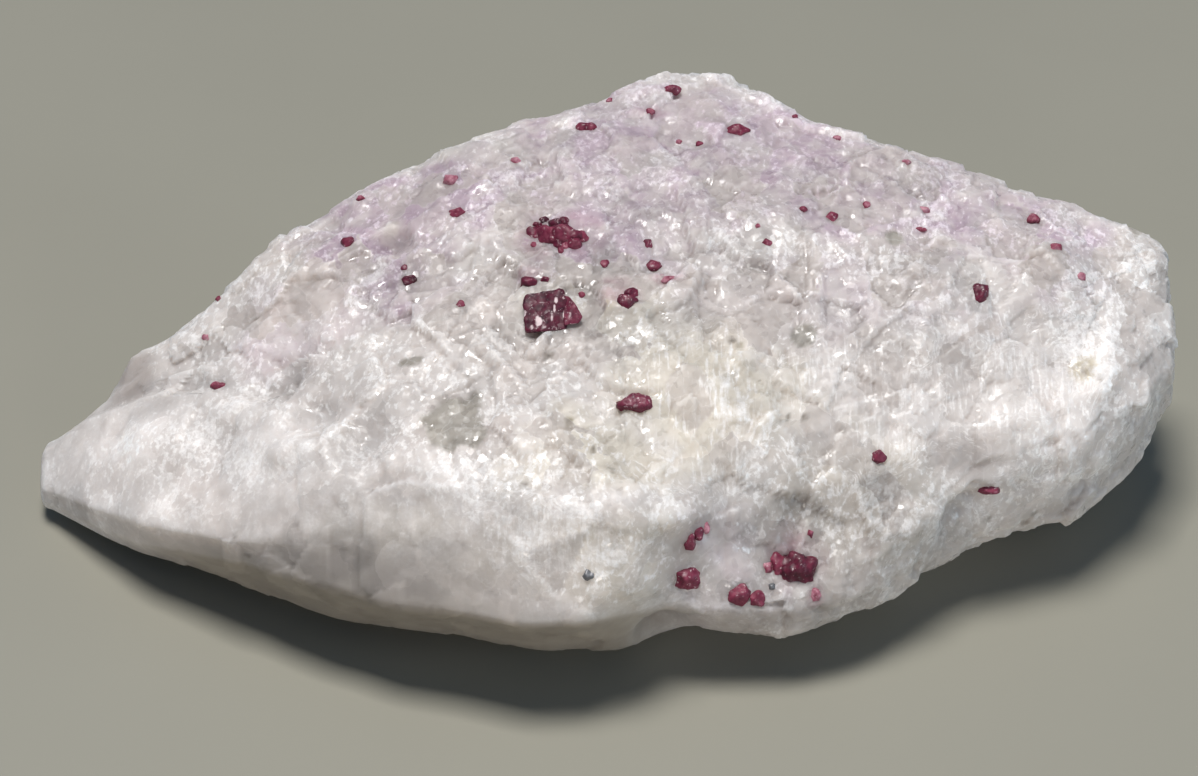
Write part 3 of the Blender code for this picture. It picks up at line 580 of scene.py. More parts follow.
# The value from which a change sets in, how fast it rises, and its most
CLEAR_GRAINS = (0.80, 4.0, 0.6)
MILKY_GRAINS = (0.55, 2.0, 0.7)
GLASSY_RIM = (0.52, 5.0, 1.0)
SMOOTH_WHERE_CLEAR = (0.6, 2.5, 1.0)
SMOOTH_BY_CLEAR = 0.55
EVEN_ROSE = 0.7
ROSE_BY_GRAIN = 0.6
SMALL_SHADE = 0.6
# How strongly painted light, and painted shade with darker tone, move the shade number
PAINTED_LIGHT_GAIN = 1.5
SHADE_AND_TONE_GAIN = 1.2
STAIN_STRENGTH = 0.75


def zone_values(points, zones):
    """The strongest zone at each point: full in its middle, falling to nothing at a rim frayed by noise."""
    frayed = summed_lumps(points, ZONE_FRAY)
    strongest = np.zeros(len(points))
    for right, up, width, height, strength in zones:
        centre = seat(right, up)[0]
        reach = np.array((width / 2.0, height * HALF_HEIGHT_ON_FACE, max(width, height) / 2.0))
        away = np.sqrt((((points - centre) / reach) ** 2).sum(-1))
        share = np.clip(ZONE_CORE - ZONE_FALL * away + frayed, 0.0, 1.0)
        strongest = np.maximum(strongest, strength * share)
    return strongest


def above(values, least, rise, most):
    """Nothing up to the least value, from there in proportion, and held at the most."""
    return np.clip((values - least) * rise, 0.0, most)


def zone_numbers(points):
    """The named numbers that zones decide, with the own share of the grain that each point lies in."""
    cell, _ = nearest_cell(points, GRAIN_WIDTH)
    small_cell, _ = nearest_cell(points, SMALL_GRAIN_WIDTH)
    shade = lattice_value(cell, SHADE_LAYER)
    small_shade = lattice_value(small_cell, SMALL_SHADE_LAYER) - 0.5
    clear_grain = above(lattice_value(cell, CLEAR_LAYER), *CLEAR_GRAINS)
    milky_grain = above(lattice_value(cell, MILKY_LAYER), *MILKY_GRAINS)
    # Painted light and painted shade from the zones, added to each grain's own tone in the shade number
    light = PAINTED_LIGHT_GAIN * zone_values(points, PAINTED_LIGHT_ZONES) - SHADE_AND_TONE_GAIN * zone_values(points, SHADE_AND_TONE_ZONES)
    return {
        "rose": zone_values(points, ROSE_ZONES) * (EVEN_ROSE + ROSE_BY_GRAIN * shade),
        "pink": zone_values(points, PINK_SPOTS),
        "warm": zone_values(points, WARM_ZONES),
        "clear": np.maximum(zone_values(points, CLEAR_ZONES), clear_grain),
        "milk": np.maximum(zone_values(points, MILK_ZONES), milky_grain),
        "fibre": zone_values(points, FIBRE_ZONES),
        "glass": above(zone_values(points, GLASSY_GRAINS), *GLASSY_RIM),
        "stain": STAIN_STRENGTH * zone_values(points, STAINS),
        "shade": shade - 0.5 + SMALL_SHADE * small_shade + light,
    }


def around_lump(profile):
    """A share that changes only around the lump, for every point of the fine skin."""
    stations, places = grid_places(FINE_STEPS_ALONG, FINE_STEPS_AROUND)
    values = share_at(places, profile)[None, :] * np.ones((len(stations), 1))
    return without_seams(values[..., None])[:, 0]


def band_numbers(points, clear):
    """The named numbers that bands decide: each is its share around the lump times its share along it."""
    x, y, _ = points.T
    clear = np.maximum(clear, around_lump(GREY_AROUND) * share_at(x, GREY_ALONG))
    silk = around_lump(SILK_AROUND) * share_at(x, SILK_ALONG) * (1.0 + summed_lumps(points, SILK_FRAY))
    coarse = around_lump(COARSE_FRONT_AROUND) * share_at(x, COARSE_FRONT_ALONG)
    coarse = np.maximum(coarse, share_at(x, COARSE_RIGHT_ALONG))
    coarse = np.maximum(coarse, around_lump(COARSE_AROUND))
    coarse = coarse * share_at(x, CALM_NOSE_ALONG) * share_at(y, CALM_TOP_ACROSS)
    return {
        "clear": clear,
        "silk": np.clip(silk, 0.0, 1.0),
        # painted shade on the foot and under the ledge
        "foot_shade": around_lump(FOOT_SHADE_AROUND) * share_at(x, FOOT_SHADE_ALONG),
        "coarse": coarse * (1.0 - SMOOTH_BY_CLEAR * above(clear, *SMOOTH_WHERE_CLEAR)),
    }


marble_numbers = zone_numbers(fine_points)
marble_numbers.update(band_numbers(fine_points, marble_numbers["clear"]))
for label, values in marble_numbers.items():
    print(f"{label}: {values.mean():.2f} in the mean, from {values.min():.2f} to {values.max():.2f}")

# %% [markdown]
# ## Nodes in plain calls
#
# A material is a small program of nodes. These helpers add one node at a time: a value goes into a
# socket as it is, and an output is linked to it.

# %% Helpers for materials
# Sockets of the mix node, which has several of the same name
FACTOR, FIRST, SECOND, MIXED = 0, 6, 7, 2


def new_material(name):
    """An empty material with its principled shader wired to the output."""
    material = bpy.data.materials.new(name)
    material.use_nodes = True
    return material, material.node_tree, material.node_tree.nodes["Principled BSDF"]


def feed(tree, socket, value):
    """Give a socket a plain value, or link it to another node's output."""
    if isinstance(value, bpy.types.NodeSocket):
        tree.links.new(value, socket)
    else:
        socket.default_value = value


def add(tree, kind, inputs=None, **settings):
    """A node of a kind with its settings, and each of its inputs given a value or linked to an output."""
    made = tree.nodes.new(kind)
    for label, value in settings.items():
        setattr(made, label, value)
    for label, value in (inputs or {}).items():
        feed(tree, made.inputs[label], value)
    return made


def object_place(tree):
    """The place of each point in metres. The pieces lie at the origin, so patterns stay put on them."""
    return add(tree, "ShaderNodeTexCoord").outputs["Object"]


def number(tree, label):
    """A named number of the mesh, such as how rosy the marble is here."""
    return add(tree, "ShaderNodeAttribute", attribute_name=label).outputs["Fac"]


def blend(tree, factor, first, second):
    """From the first colour to the second as the factor goes from 0 to 1."""
    mix = add(tree, "ShaderNodeMix", data_type="RGBA")
    feed(tree, mix.inputs[FACTOR], factor)
    feed(tree, mix.inputs[FIRST], first)
    feed(tree, mix.inputs[SECOND], second)
    return mix.outputs[MIXED]


def layered(tree, colour, *layers):
    """A colour with others laid over it in turn, each by its share."""
    for share, over in layers:
        colour = blend(tree, share, colour, over)
    return colour


def arithmetic(tree, operation, first, second, clamp=False):
    """One operation on two values, and with clamp its result is held between 0 and 1."""
    made = add(tree, "ShaderNodeMath", {0: first, 1: second}, operation=operation, use_clamp=clamp)
    return made.outputs["Value"]


def product(tree, first, *others):
    """The values multiplied one after another."""
    for other in others:
        first = arithmetic(tree, "MULTIPLY", first, other)
    return first


def weighted(tree, *terms):
    """The sum of values, each times its weight."""
    total = 0.0
    for value, weight in terms:
        made = add(tree, "ShaderNodeMath", {0: value, 1: weight, 2: total}, operation="MULTIPLY_ADD")
        total = made.outputs["Value"]
    return total


def between(tree, share, first, second):
    """From the first value to the second as the share goes from 0 to 1."""
    return weighted(tree, (first, arithmetic(tree, "SUBTRACT", 1.0, share)), (second, share))


def rescaled(tree, value, low, high, to_low=0.0, to_high=1.0):
    """A value stretched from one range to another, and held inside it."""
    inputs = {"Value": value, "From Min": low, "From Max": high, "To Min": to_low, "To Max": to_high}
    return add(tree, "ShaderNodeMapRange", inputs).outputs["Result"]


def noise(tree, place, per_metre, detail=3.0, roughness=0.5):
    """Cloudy noise around 0.5, finer with more repeats per metre and harsher with more roughness."""
    inputs = {"Vector": place, "Scale": per_metre, "Detail": detail, "Roughness": roughness}
    return add(tree, "ShaderNodeTexNoise", inputs).outputs["Fac"]


def vector_arithmetic(tree, operation, first, second):
    """One operation on two vectors."""
    return add(tree, "ShaderNodeVectorMath", {0: first, 1: second}, operation=operation)


def tilted_cells(tree, place, per_metre, slope):
    """Height of small flat facets, each a plane through its cell's centre, and the cell's random colour."""
    cells = add(tree, "ShaderNodeTexVoronoi", {"Vector": place, "Scale": per_metre})
    way = vector_arithmetic(tree, "SUBTRACT", place, cells.outputs["Position"])
    lean = vector_arithmetic(tree, "SUBTRACT", cells.outputs["Color"], (0.5, 0.5, 0.5))
    height = vector_arithmetic(tree, "DOT_PRODUCT", way.outputs[0], lean.outputs[0])
    return product(tree, height.outputs["Value"], slope), cells.outputs["Color"]


def bumped(tree, shader, height, strength):
    """Let a height in metres bend the light on a shader."""
    bump = add(tree, "ShaderNodeBump", {"Height": height, "Distance": 1.0, "Strength": strength})
    feed(tree, shader.inputs["Normal"], bump.outputs["Normal"])


print("a mix node takes its factor and colours at", (FACTOR, FIRST, SECOND), "and gives them at", MIXED)

# %% [markdown]
# ## The finish of the marble
#
# Calcite is clear in itself, and white where it is full of tiny cracks. So the finish is a tint, which
# the numbers on the mesh decide, with white laid over it, which noise decides. On coarse parts the
# white is crisp: sugary specks, short cleavage streaks that turn from grain to grain, and upright
# stripes where the marble is fibrous. On smooth parts it is a soft cloud. Silk, a brown painted shade
# on the foot, pink and stains come last, and the shade number brightens or darkens the colour with
# painted light and shade. Small tilted cells give the bump its flat facets, and each cell has its own
# gloss, so that a few of them flash. Light also spreads a little way under the surface.

# %% Colours and patterns of the marble
CALCITE = (0.555, 0.51, 0.48, 1.0)
ROSE = (0.37, 0.28, 0.33, 1.0)
PINK = (0.45, 0.24, 0.29, 1.0)
WARM = (0.59, 0.525, 0.40, 1.0)
CLEAR = (0.43, 0.38, 0.35, 1.0)
# The brown painted shade of the foot and of the face under the ledge
FOOT_SHADE_COLOUR = (0.26, 0.225, 0.18, 1.0)
STAIN = (0.10, 0.075, 0.05, 1.0)
GLASS = (0.30, 0.272, 0.235, 1.0)
SILK = (0.45, 0.405, 0.37, 1.0)
MILK = (0.75, 0.72, 0.695, 1.0)
ROSY_MILK = (0.62, 0.53, 0.58, 1.0)
# Noise: repeats per metre, detail and roughness
PATCHES = (700.0, 3.0, 0.6)
CLUMPS = (330.0, 3.0, 0.6)
CLOUDS = (900.0, 4.0, 0.65)
SUGAR = (1900.0, 4.0, 0.7)
GRIT = (5200.0, 2.0, 0.6)
STREAK_NOISE = (1.0, 2.5, 0.55)
# Streaks: repeats per metre across them and along them
LAMELLAE = (3300.0, 1900.0)
STRIPES = (4800.0, 750.0)
# Facets: cells per metre, and slope
FACETS = (900.0, 0.5)
SMALL_FACETS = (3000.0, 0.7)
# Grains with wavy borders: grains and waves per metre, and how far a wave moves the border in metres
GRAINS_PER_METRE = 420.0
WAVES_PER_METRE = 900.0
WAVE_DETAIL = 3.0
WAVE_REACH = 0.0016
# The direction that the broad face looks in, and how far the streaks of a grain turn in it, in radians
FACE_WAY = (0.0, -0.45, 0.89)
STREAK_TURN = 1.2
print("grains are", round(1.0 / GRAINS_PER_METRE / MM, 1), "mm wide, specks", round(1.0 / SUGAR[0] / MM, 1))

# %% How much counts where
# A value from the first number to the second becomes one from the third to the fourth, or from 0 to 1
PATCHY = (0.36, 0.64, 0.45, 1.3)
CLUMPED = (0.36, 0.64)
CLEAR_BY_GRAIN = (0.66, 0.86, 0.0, 0.85)
CLEAR_BY_COARSE = (0.4, 1.0, 0.2, 1.0)
WHITE_STREAKS = (0.645, 0.745)
WHITE_SPECKS = (0.71, 0.78)
WHITE_STRIPES = (0.645, 0.725)
WHITE_CLOUDS = (0.42, 0.76)
GRITTY = (0.38, 0.62, 0.5, 1.05)
WHITE_BY_SMOOTH = (0.0, 1.0, 1.0, 0.12)
WHITE_BY_CLEAR = (0.45, 1.0, 1.0, 0.2)
LINE_BY_BORDER = (0.0, 0.03, 0.35, 0.0)
DULL_BY_COARSE = (0.2, 0.9, 0.5, 0.0)
ROUGHNESS_BY_CELL = (0.0, 0.5, 0.2, 0.6)
SPREAD_BY_WHITE = (0.0, 1.0, 0.85, 0.45)
# How far each of these helps the noise over the threshold of white
CLUMP_PUSH = 0.11
MILK_PUSH = 0.10
GRAIN_PUSH = 0.09
CLEAR_PUSH = -0.07
# The most that each covers
FIBRE_COVER = 0.7
GLASS_COVER = 0.75
SILK_COVER = 0.85
FOOT_SHADE_COVER = 0.9
# Brightness, and what the shade number, which holds painted light and shade, and the grain add to it
BRIGHTNESS = 0.95
BRIGHTNESS_BY_SHADE = 0.18
BRIGHTNESS_BY_GRAIN = 0.14
# Relief in metres, its strength, and how light bends and spreads in calcite
RIB_HEIGHT = 0.00008
MARBLE_BUMP = 0.34
CALCITE_IOR = 1.58
SPREAD_RADIUS = (1.0, 0.93, 0.86)
SPREAD_SCALE = 0.0028
print("light spreads about", round(SPREAD_SCALE / MM, 1), "mm under the surface")


# %% Grains and streaks
def marble_grains(tree, place):
    """Three random numbers for each grain of calcite, and how near its wavy border is."""
    wave = add(tree, "ShaderNodeTexNoise", {"Vector": place, "Scale": WAVES_PER_METRE, "Detail": WAVE_DETAIL})
    inputs = {0: wave.outputs["Color"], 1: (WAVE_REACH,) * 3, 2: place}
    moved = add(tree, "ShaderNodeVectorMath", inputs, operation="MULTIPLY_ADD")
    inputs = {"Vector": moved.outputs[0], "Scale": GRAINS_PER_METRE}
    own = add(tree, "ShaderNodeTexVoronoi", inputs)
    border = add(tree, "ShaderNodeTexVoronoi", inputs, feature="DISTANCE_TO_EDGE")
    grain = add(tree, "ShaderNodeSeparateColor", {"Color": own.outputs["Color"]})
    return grain.outputs, border.outputs["Distance"]


def streaks_at(tree, place, angle, across, along):
    """Noise drawn out into short streaks, turned in the plane of the broad face by an angle."""
    turned = add(tree, "ShaderNodeVectorRotate", {"Vector": place, "Axis": FACE_WAY, "Angle": angle})
    drawn = add(tree, "ShaderNodeMapping", {"Vector": turned.outputs[0], "Scale": (across, along, along)})
    return noise(tree, drawn.outputs[0], *STREAK_NOISE)


def lamellae(tree, place, grain):
    """Cleavage streaks that turn from grain to grain, but stand upright where the marble is fibrous."""
    angle = product(tree, arithmetic(tree, "SUBTRACT", grain["Red"], 0.5), STREAK_TURN)
    angle = product(tree, angle, arithmetic(tree, "SUBTRACT", 1.0, number(tree, "fibre")))
    return streaks_at(tree, place, angle, *LAMELLAE)


print("streaks repeat every", [round(1.0 / count / MM, 2) for count in LAMELLAE], "mm across and along")


# %% Tint and whiteness
def clearness(tree, grain, coarse):
    """The number on the mesh, or the grain's own share if that is more, which shows on coarse parts."""
    own = rescaled(tree, grain["Green"], *CLEAR_BY_GRAIN)
    own = product(tree, own, rescaled(tree, coarse, *CLEAR_BY_COARSE))
    return arithmetic(tree, "MAXIMUM", number(tree, "clear"), own)


def push_to_white(tree, place, grain, clear):
    """What is added to every noise: more in clumps, milky zones and some grains, less where it is clear."""
    clump = rescaled(tree, noise(tree, place, *CLUMPS), *CLUMPED)
    milky = (number(tree, "milk"), MILK_PUSH)
    return weighted(tree, (clump, CLUMP_PUSH), milky, (grain["Blue"], GRAIN_PUSH), (clear, CLEAR_PUSH))


def whiteness(tree, place, push, fine, sugar, coarse):
    """Crisp streaks, specks and stripes on coarse parts, soft clouds on smooth ones, all of it gritty."""
    crisp = rescaled(tree, arithmetic(tree, "ADD", fine, push), *WHITE_STREAKS)
    speck = rescaled(tree, arithmetic(tree, "ADD", sugar, push), *WHITE_SPECKS)
    crisp = arithmetic(tree, "MAXIMUM", crisp, speck)
    stripes = streaks_at(tree, place, 0.0, *STRIPES)
    striped = rescaled(tree, arithmetic(tree, "ADD", stripes, push), *WHITE_STRIPES)
    crisp = between(tree, product(tree, number(tree, "fibre"), FIBRE_COVER), crisp, striped)
    cloud = noise(tree, place, *CLOUDS)
    soft = rescaled(tree, arithmetic(tree, "ADD", cloud, push), *WHITE_CLOUDS)
    grit = rescaled(tree, noise(tree, place, *GRIT), *GRITTY)
    return product(tree, between(tree, coarse, soft, crisp), grit)


print("white starts at", WHITE_STREAKS[0], "in streaks and at", WHITE_SPECKS[0], "in specks")


# %% Calcite marble
def marble_colour(tree, place, grain, border, coarse, fine):
    """The tint, white over it, then silk, painted shade on the foot, pink, stains and the borders of grains.
    Also the white.
    """
    sugar = noise(tree, place, *SUGAR)
    patchy = rescaled(tree, noise(tree, place, *PATCHES), *PATCHY)
    rosy = arithmetic(tree, "MULTIPLY", number(tree, "rose"), patchy, True)
    pink = arithmetic(tree, "MULTIPLY", number(tree, "pink"), patchy, True)
    clear = clearness(tree, grain, coarse)
    silk, foot_shade, glass = number(tree, "silk"), number(tree, "foot_shade"), number(tree, "glass")
    smooth = arithmetic(tree, "MAXIMUM", foot_shade, silk)
    smooth = arithmetic(tree, "MAXIMUM", smooth, product(tree, glass, GLASS_COVER))
    white = whiteness(tree, place, push_to_white(tree, place, grain, clear), fine, sugar, coarse)
    white = product(tree, white, rescaled(tree, smooth, *WHITE_BY_SMOOTH))
    white = product(tree, white, rescaled(tree, clear, *WHITE_BY_CLEAR))
    line = product(tree, rescaled(tree, border, *LINE_BY_BORDER), sugar, coarse)
    tint = layered(tree, CALCITE, (rosy, ROSE), (number(tree, "warm"), WARM), (clear, CLEAR), (glass, GLASS))
    colour = layered(
        tree, tint,
        (white, blend(tree, rosy, MILK, ROSY_MILK)),
        (product(tree, silk, SILK_COVER), SILK),
        # painted shade on the foot and under the ledge
        (product(tree, foot_shade, FOOT_SHADE_COVER), FOOT_SHADE_COLOUR),
        (pink, PINK), (number(tree, "stain"), STAIN), (line, MILK),
    )
    return colour, white


def marble_material():
    """White calcite: grey where it is clear, white where it is full of tiny cracks."""
    material, tree, shader = new_material("calcite_marble")
    place = object_place(tree)
    grain, border = marble_grains(tree, place)
    coarse = number(tree, "coarse")
    fine = lamellae(tree, place, grain)
    colour, white = marble_colour(tree, place, grain, border, coarse, fine)
    # The shade number holds each grain's tone and the painted light and shade of the zones
    shade = (number(tree, "shade"), BRIGHTNESS_BY_SHADE)
    brightness = weighted(tree, shade, (grain["Red"], BRIGHTNESS_BY_GRAIN), (1.0, BRIGHTNESS))
    tone = add(tree, "ShaderNodeHueSaturation", {"Color": colour, "Value": brightness})
    feed(tree, shader.inputs["Base Color"], tone.outputs["Color"])
    facets, _ = tilted_cells(tree, place, *FACETS)
    small_facets, small_random = tilted_cells(tree, place, *SMALL_FACETS)
    dull = add(tree, "ShaderNodeSeparateColor", {"Color": small_random}).outputs["Red"]
    dull = arithmetic(tree, "MAXIMUM", dull, rescaled(tree, coarse, *DULL_BY_COARSE))
    feed(tree, shader.inputs["Roughness"], rescaled(tree, dull, *ROUGHNESS_BY_CELL))
    ribs = product(tree, fine, coarse)
    height = weighted(tree, (facets, coarse), (small_facets, coarse), (ribs, RIB_HEIGHT))
    bumped(tree, shader, height, MARBLE_BUMP)
    shader.inputs["IOR"].default_value = CALCITE_IOR
    feed(tree, shader.inputs["Subsurface Weight"], rescaled(tree, white, *SPREAD_BY_WHITE))
    shader.inputs["Subsurface Radius"].default_value = SPREAD_RADIUS
    shader.inputs["Subsurface Scale"].default_value = SPREAD_SCALE
    return material


marble = marble_material()
matrix = lay_mesh("marble_lump", fine_points, fine_faces, marble, marble_numbers)
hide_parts("marble_matrix")
print("marble lump:", 2 * len(fine_faces), "triangles at most,", len(marble.node_tree.nodes), "nodes")

# %% [markdown]
# ## Crystals from flat faces
#
# Spinel grows as octahedra. A convex crystal is the space inside a set of planes, so in any direction
# its skin lies at the nearest plane. Written with a high power instead of a hard minimum, the same
# rule rounds every edge, as on a real worn crystal. Each crystal keeps the turn, the place and the
# size of its solid. Only its grid is fine, and it sits a little deeper. Four of them are twins: two or
# three bodies grown into each other.

# %% The crystals: right and up in the view, width, height, and paleness from 0 to 1
CRYSTALS = (
    (10.7, -9.8, 2.5, 1.8, 0.15), (8.1, -11.5, 1.7, 1.2, 0.45), (4.8, -10.4, 1.5, 1.3, 0.5),
    (5.3, -8.2, 0.9, 1.3, 0.55), (2.0, -0.9, 1.8, 1.0, 0.35), (1.7, 5.0, 1.1, 1.2, 0.2),
    (3.0, 6.7, 0.8, 0.8, 0.4), (2.7, 7.9, 0.5, 0.6, 0.3), (0.3, 6.8, 0.5, 0.5, 0.55),
    (-3.9, 5.8, 0.8, 0.7, 0.3), (-7.8, 9.6, 0.9, 0.7, 0.55), (-7.6, 4.6, 0.5, 0.4, 0.6),
    (-10.4, 5.9, 0.8, 0.6, 0.1), (-10.7, 6.6, 0.4, 0.4, 0.3), (-13.8, 8.0, 0.7, 0.7, 0.4),
    (-20.9, 0.1, 1.0, 0.5, 0.5), (-0.7, 14.3, 1.1, 0.7, 0.4), (4.0, 16.4, 0.9, 0.5, 0.5),
    (2.8, 15.2, 0.5, 0.4, 0.6), (7.6, 14.1, 1.2, 0.8, 0.4), (5.5, 13.4, 0.4, 0.4, 0.5),
    (-4.6, 12.5, 0.5, 0.4, 0.8), (-8.2, 11.4, 0.9, 0.7, 0.9), (11.2, 9.8, 0.5, 0.4, 0.5),
    (12.8, 9.4, 0.7, 0.7, 0.5), (14.7, 10.0, 0.5, 0.5, 0.8), (9.2, 8.0, 0.5, 0.4, 0.5),
    (17.9, 9.8, 0.7, 0.4, 0.8), (21.0, 5.2, 0.8, 1.0, 0.2), (23.9, 9.3, 0.8, 0.5, 0.5),
    (25.1, 7.7, 0.7, 0.5, 0.7), (26.5, 6.1, 0.5, 0.5, 0.8), (15.4, -3.8, 0.7, 0.7, 0.4),
    (21.5, -5.6, 1.2, 0.5, 0.6), (11.6, -8.0, 0.4, 0.5, 0.6), (11.9, -11.4, 0.6, 0.8, 0.8),
    (-0.95, 5.1, 0.35, 0.4, 0.5), (17.7, 8.7, 0.7, 0.3, 0.7), (-13.1, 10.4, 0.5, 0.4, 0.7),
    (-20.9, 5.2, 0.4, 0.35, 0.5), (-21.6, 2.8, 0.45, 0.35, 0.95), (10.8, 14.9, 0.35, 0.3, 0.4),
    (13.1, 13.7, 0.45, 0.3, 0.8), (16.9, 12.4, 0.5, 0.3, 0.8), (0.6, 15.8, 0.4, 0.3, 0.6),
    (3.85, 5.9, 0.9, 0.4, 0.85), (8.7, 8.9, 0.3, 0.3, 0.8), (4.4, 13.5, 0.4, 0.35, 0.7),
    (-2.95, 5.95, 0.5, 0.4, 0.3),
)
# The bodies of the twinned crystals, by the number of the crystal
TWINS = {
    1: ((10.9, -9.9, 2.1, 1.8, 0.1), (9.9, -9.75, 1.0, 1.2, 0.45), (9.3, -9.9, 0.6, 0.8, 0.85)),
    2: ((7.8, -11.4, 1.15, 1.25, 0.5), (8.65, -11.55, 0.75, 0.75, 0.55)),
    4: ((5.0, -8.5, 0.65, 0.9, 0.5), (5.45, -8.05, 0.6, 0.7, 0.35), (5.9, -7.7, 0.4, 0.6, 0.95)),
    6: ((1.55, 4.75, 1.05, 0.95, 0.2), (1.75, 5.2, 0.65, 0.65, 0.25)),
}
# The bodies of the cluster
CLUSTER = (
    (-2.9, 8.35, 1.7, 1.2, 0.45), (-1.9, 8.35, 1.7, 1.1, 0.35), (-3.05, 9.2, 0.55, 0.5, 0.0),
    (-2.45, 8.95, 0.8, 0.6, 0.0), (-1.9, 9.1, 0.7, 0.7, 0.1), (-2.15, 8.65, 0.9, 0.7, 0.0),
    (-3.6, 8.5, 0.7, 0.8, 0.15), (-3.05, 8.3, 1.0, 0.9, 0.4), (-2.5, 8.2, 1.0, 0.9, 0.25),
    (-2.2, 7.9, 0.8, 0.6, 0.05), (-1.5, 8.35, 0.9, 0.7, 0.15), (-1.0, 8.3, 0.9, 0.7, 0.5),
    (-1.35, 7.9, 0.8, 0.6, 0.4), (-1.85, 7.8, 0.5, 0.6, 0.6), (-3.6, 7.85, 0.4, 0.4, 0.6),
    (-2.1, 7.5, 0.3, 0.5, 0.3), (-3.4, 8.95, 0.6, 0.45, 0.4),
)
GREY_GRAIN = (-0.6, -10.3, 0.6, 0.6, 0.0)
DARK_GRAIN = (9.5, -10.9, 0.35, 0.35, 0.0)
print(len(CRYSTALS), "single crystals and", len(CLUSTER), "bodies in the cluster")

# %% Crystals as functions of direction
# How deep a body sits, as a share of its height, and how much of each corner is cut off
SUNK = 0.22
CUT_CORNER = 0.3
# The planes are drawn out by one over this, because rounding and sinking take width away
ROUNDING_LOSS = 0.84
EDGE_POWER = 18.0
CRYSTAL_GRID = (22, 32)
# Uneven faces: height as a share of the body, width in millimetres, and layer
UNEVEN_FACES = ((0.16, 0.42, 4), (0.10, 0.2, 5))


def directions(rows, columns):
    """Unit directions on a grid: down the polar angle from -x to +x, and around the x axis."""
    polar = np.linspace(0.0, math.pi, rows)[:, None]
    around = np.linspace(0.0, 2.0 * math.pi, columns, endpoint=False)[None, :]
    x = np.broadcast_to(-np.cos(polar), (rows, columns))
    return np.stack((x, -np.sin(polar) * np.cos(around), np.sin(polar) * np.sin(around)), -1)


def faceted(planes, ways):
    """Points at 1 / (sum of (plane . way) ** power) ** (1 / power): the nearest plane, with edges rounded."""
    reach = np.clip(ways @ planes.T, 0.0, None)
    return ways / ((reach**EDGE_POWER).sum(-1, keepdims=True) ** (1.0 / EDGE_POWER))


def turn_matrix(seed):
    """A seeded random rotation, from a random unit quaternion."""
    w, x, y, z = unit(np.random.default_rng(seed).normal(size=4))
    return np.array((
        (1 - 2 * (y * y + z * z), 2 * (x * y - w * z), 2 * (x * z + w * y)),
        (2 * (x * y + w * z), 1 - 2 * (x * x + z * z), 2 * (y * z - w * x)),
        (2 * (x * z - w * y), 2 * (y * z + w * x), 1 - 2 * (x * x + y * y)),
    ))


def cut_octahedron():
    """The 24 corners of an octahedron of half-width 1 whose own six corners are cut off."""
    places = [spot for spot in np.ndindex(3, 3) if spot[0] != spot[1]]
    corners = np.zeros((len(places), 2, 2, 3))
    for count, (far, near) in enumerate(places):
        corners[count, 0, :, far], corners[count, 1, :, far] = 1.0 - CUT_CORNER, CUT_CORNER - 1.0
        corners[count, :, 0, near], corners[count, :, 1, near] = CUT_CORNER, -CUT_CORNER
    return corners.reshape(-1, 3)


def octahedron_planes(width, height, seed):
    """Eight octahedron faces and six cut corners, turned, then stretched to the width and height in view."""
    turn = turn_matrix(seed)
    spans = np.abs(turn @ cut_octahedron().T).max(axis=1)
    half = np.array((width, height, (width + height) / 2.0)) / 2.0
    stretched = (half / spans)[:, None] * turn
    back = np.linalg.inv(stretched)
    signs = np.array(list(np.ndindex(2, 2, 2))) * 2.0 - 1.0
    corners = np.concatenate((np.eye(3), -np.eye(3))) / (1.0 - CUT_CORNER)
    return np.concatenate((signs @ back, corners @ back))


def facing(normal):
    """Axes to the right, up and out, where out is half-way between the skin's own way and the eye's."""
    out = unit(normal + TOWARD_EYE)
    up = unit(np.cross(out, VIEW_RIGHT))
    return np.stack((np.cross(up, out), up, out))


def crystal_points(spot, planes, sunk, grid, unevenness=1.0):
    """A faceted body on its spot, each point moved out or in by noise in proportion to its reach."""
    place, normal = seat(*spot)
    axes = facing(normal)
    body = faceted(planes, directions(*grid))
    uneven = summed_lumps(body + place, UNEVEN_FACES)
    body = body * (1.0 + unevenness * uneven[..., None])
    return without_seams(place - axes[2] * sunk + body @ axes)


def small_body(crystal, seed):
    """The points of one octahedron from its place and size, and the paleness of each point."""
    right, up, width, height, paleness = crystal
    planes = octahedron_planes(width, height, seed) * ROUNDING_LOSS
    points = crystal_points((right, up), planes, SUNK * height, CRYSTAL_GRID)
    return points, np.full(len(points), paleness)


print("a cut octahedron has", len(octahedron_planes(1.0, 1.0, 1)), "planes")

# %% [markdown]
# ## Pale streaks with painted glints, and a piece from its bodies
#
# Calcite fills the cracks of the larger crystals and shows as thin pale lines, and these lines also
# hold painted reflections off the cracks. These lie where the eye sees them, so each point of a
# crystal is first carried back to the view. Then the bodies are joined in one mesh, which takes the
# place of the solid.

# %% Streaks and pieces
# Calcite in the cracks, with painted reflections off them, placed as the eye sees them
PALE_STREAKS_AND_GLINTS = (
    (-3.35, 3.65, 0.4, 0.8, 1.0), (-2.35, 4.8, 0.2, 0.5, 0.8), (-2.45, 4.4, 0.18, 0.5, 0.9),
    (-2.6, 3.8, 0.22, 0.7, 0.7), (-4.1, 4.05, 0.22, 0.5, 0.9), (-3.7, 3.35, 0.3, 0.3, 0.8),
    (-3.0, 3.3, 0.5, 0.2, 0.7), (-3.1, 4.7, 0.7, 0.1, 0.4), (-1.95, 4.0, 0.14, 0.7, 1.0),
    (-1.3, 3.5, 0.7, 0.14, 0.7), (2.0, -0.9, 0.5, 0.2, 0.4), (10.2, -9.5, 0.5, 0.4, 0.5),
    (4.7, -10.3, 0.4, 0.3, 0.5), (3.0, 6.75, 0.7, 0.12, 0.6),
)
STREAK_CORE = 2.4
STREAK_FALL = 3.0
STREAK_FRAY = ((0.8, 0.3, 2), (0.8, 0.13, 3))
STREAK_RAGGED = 1.5


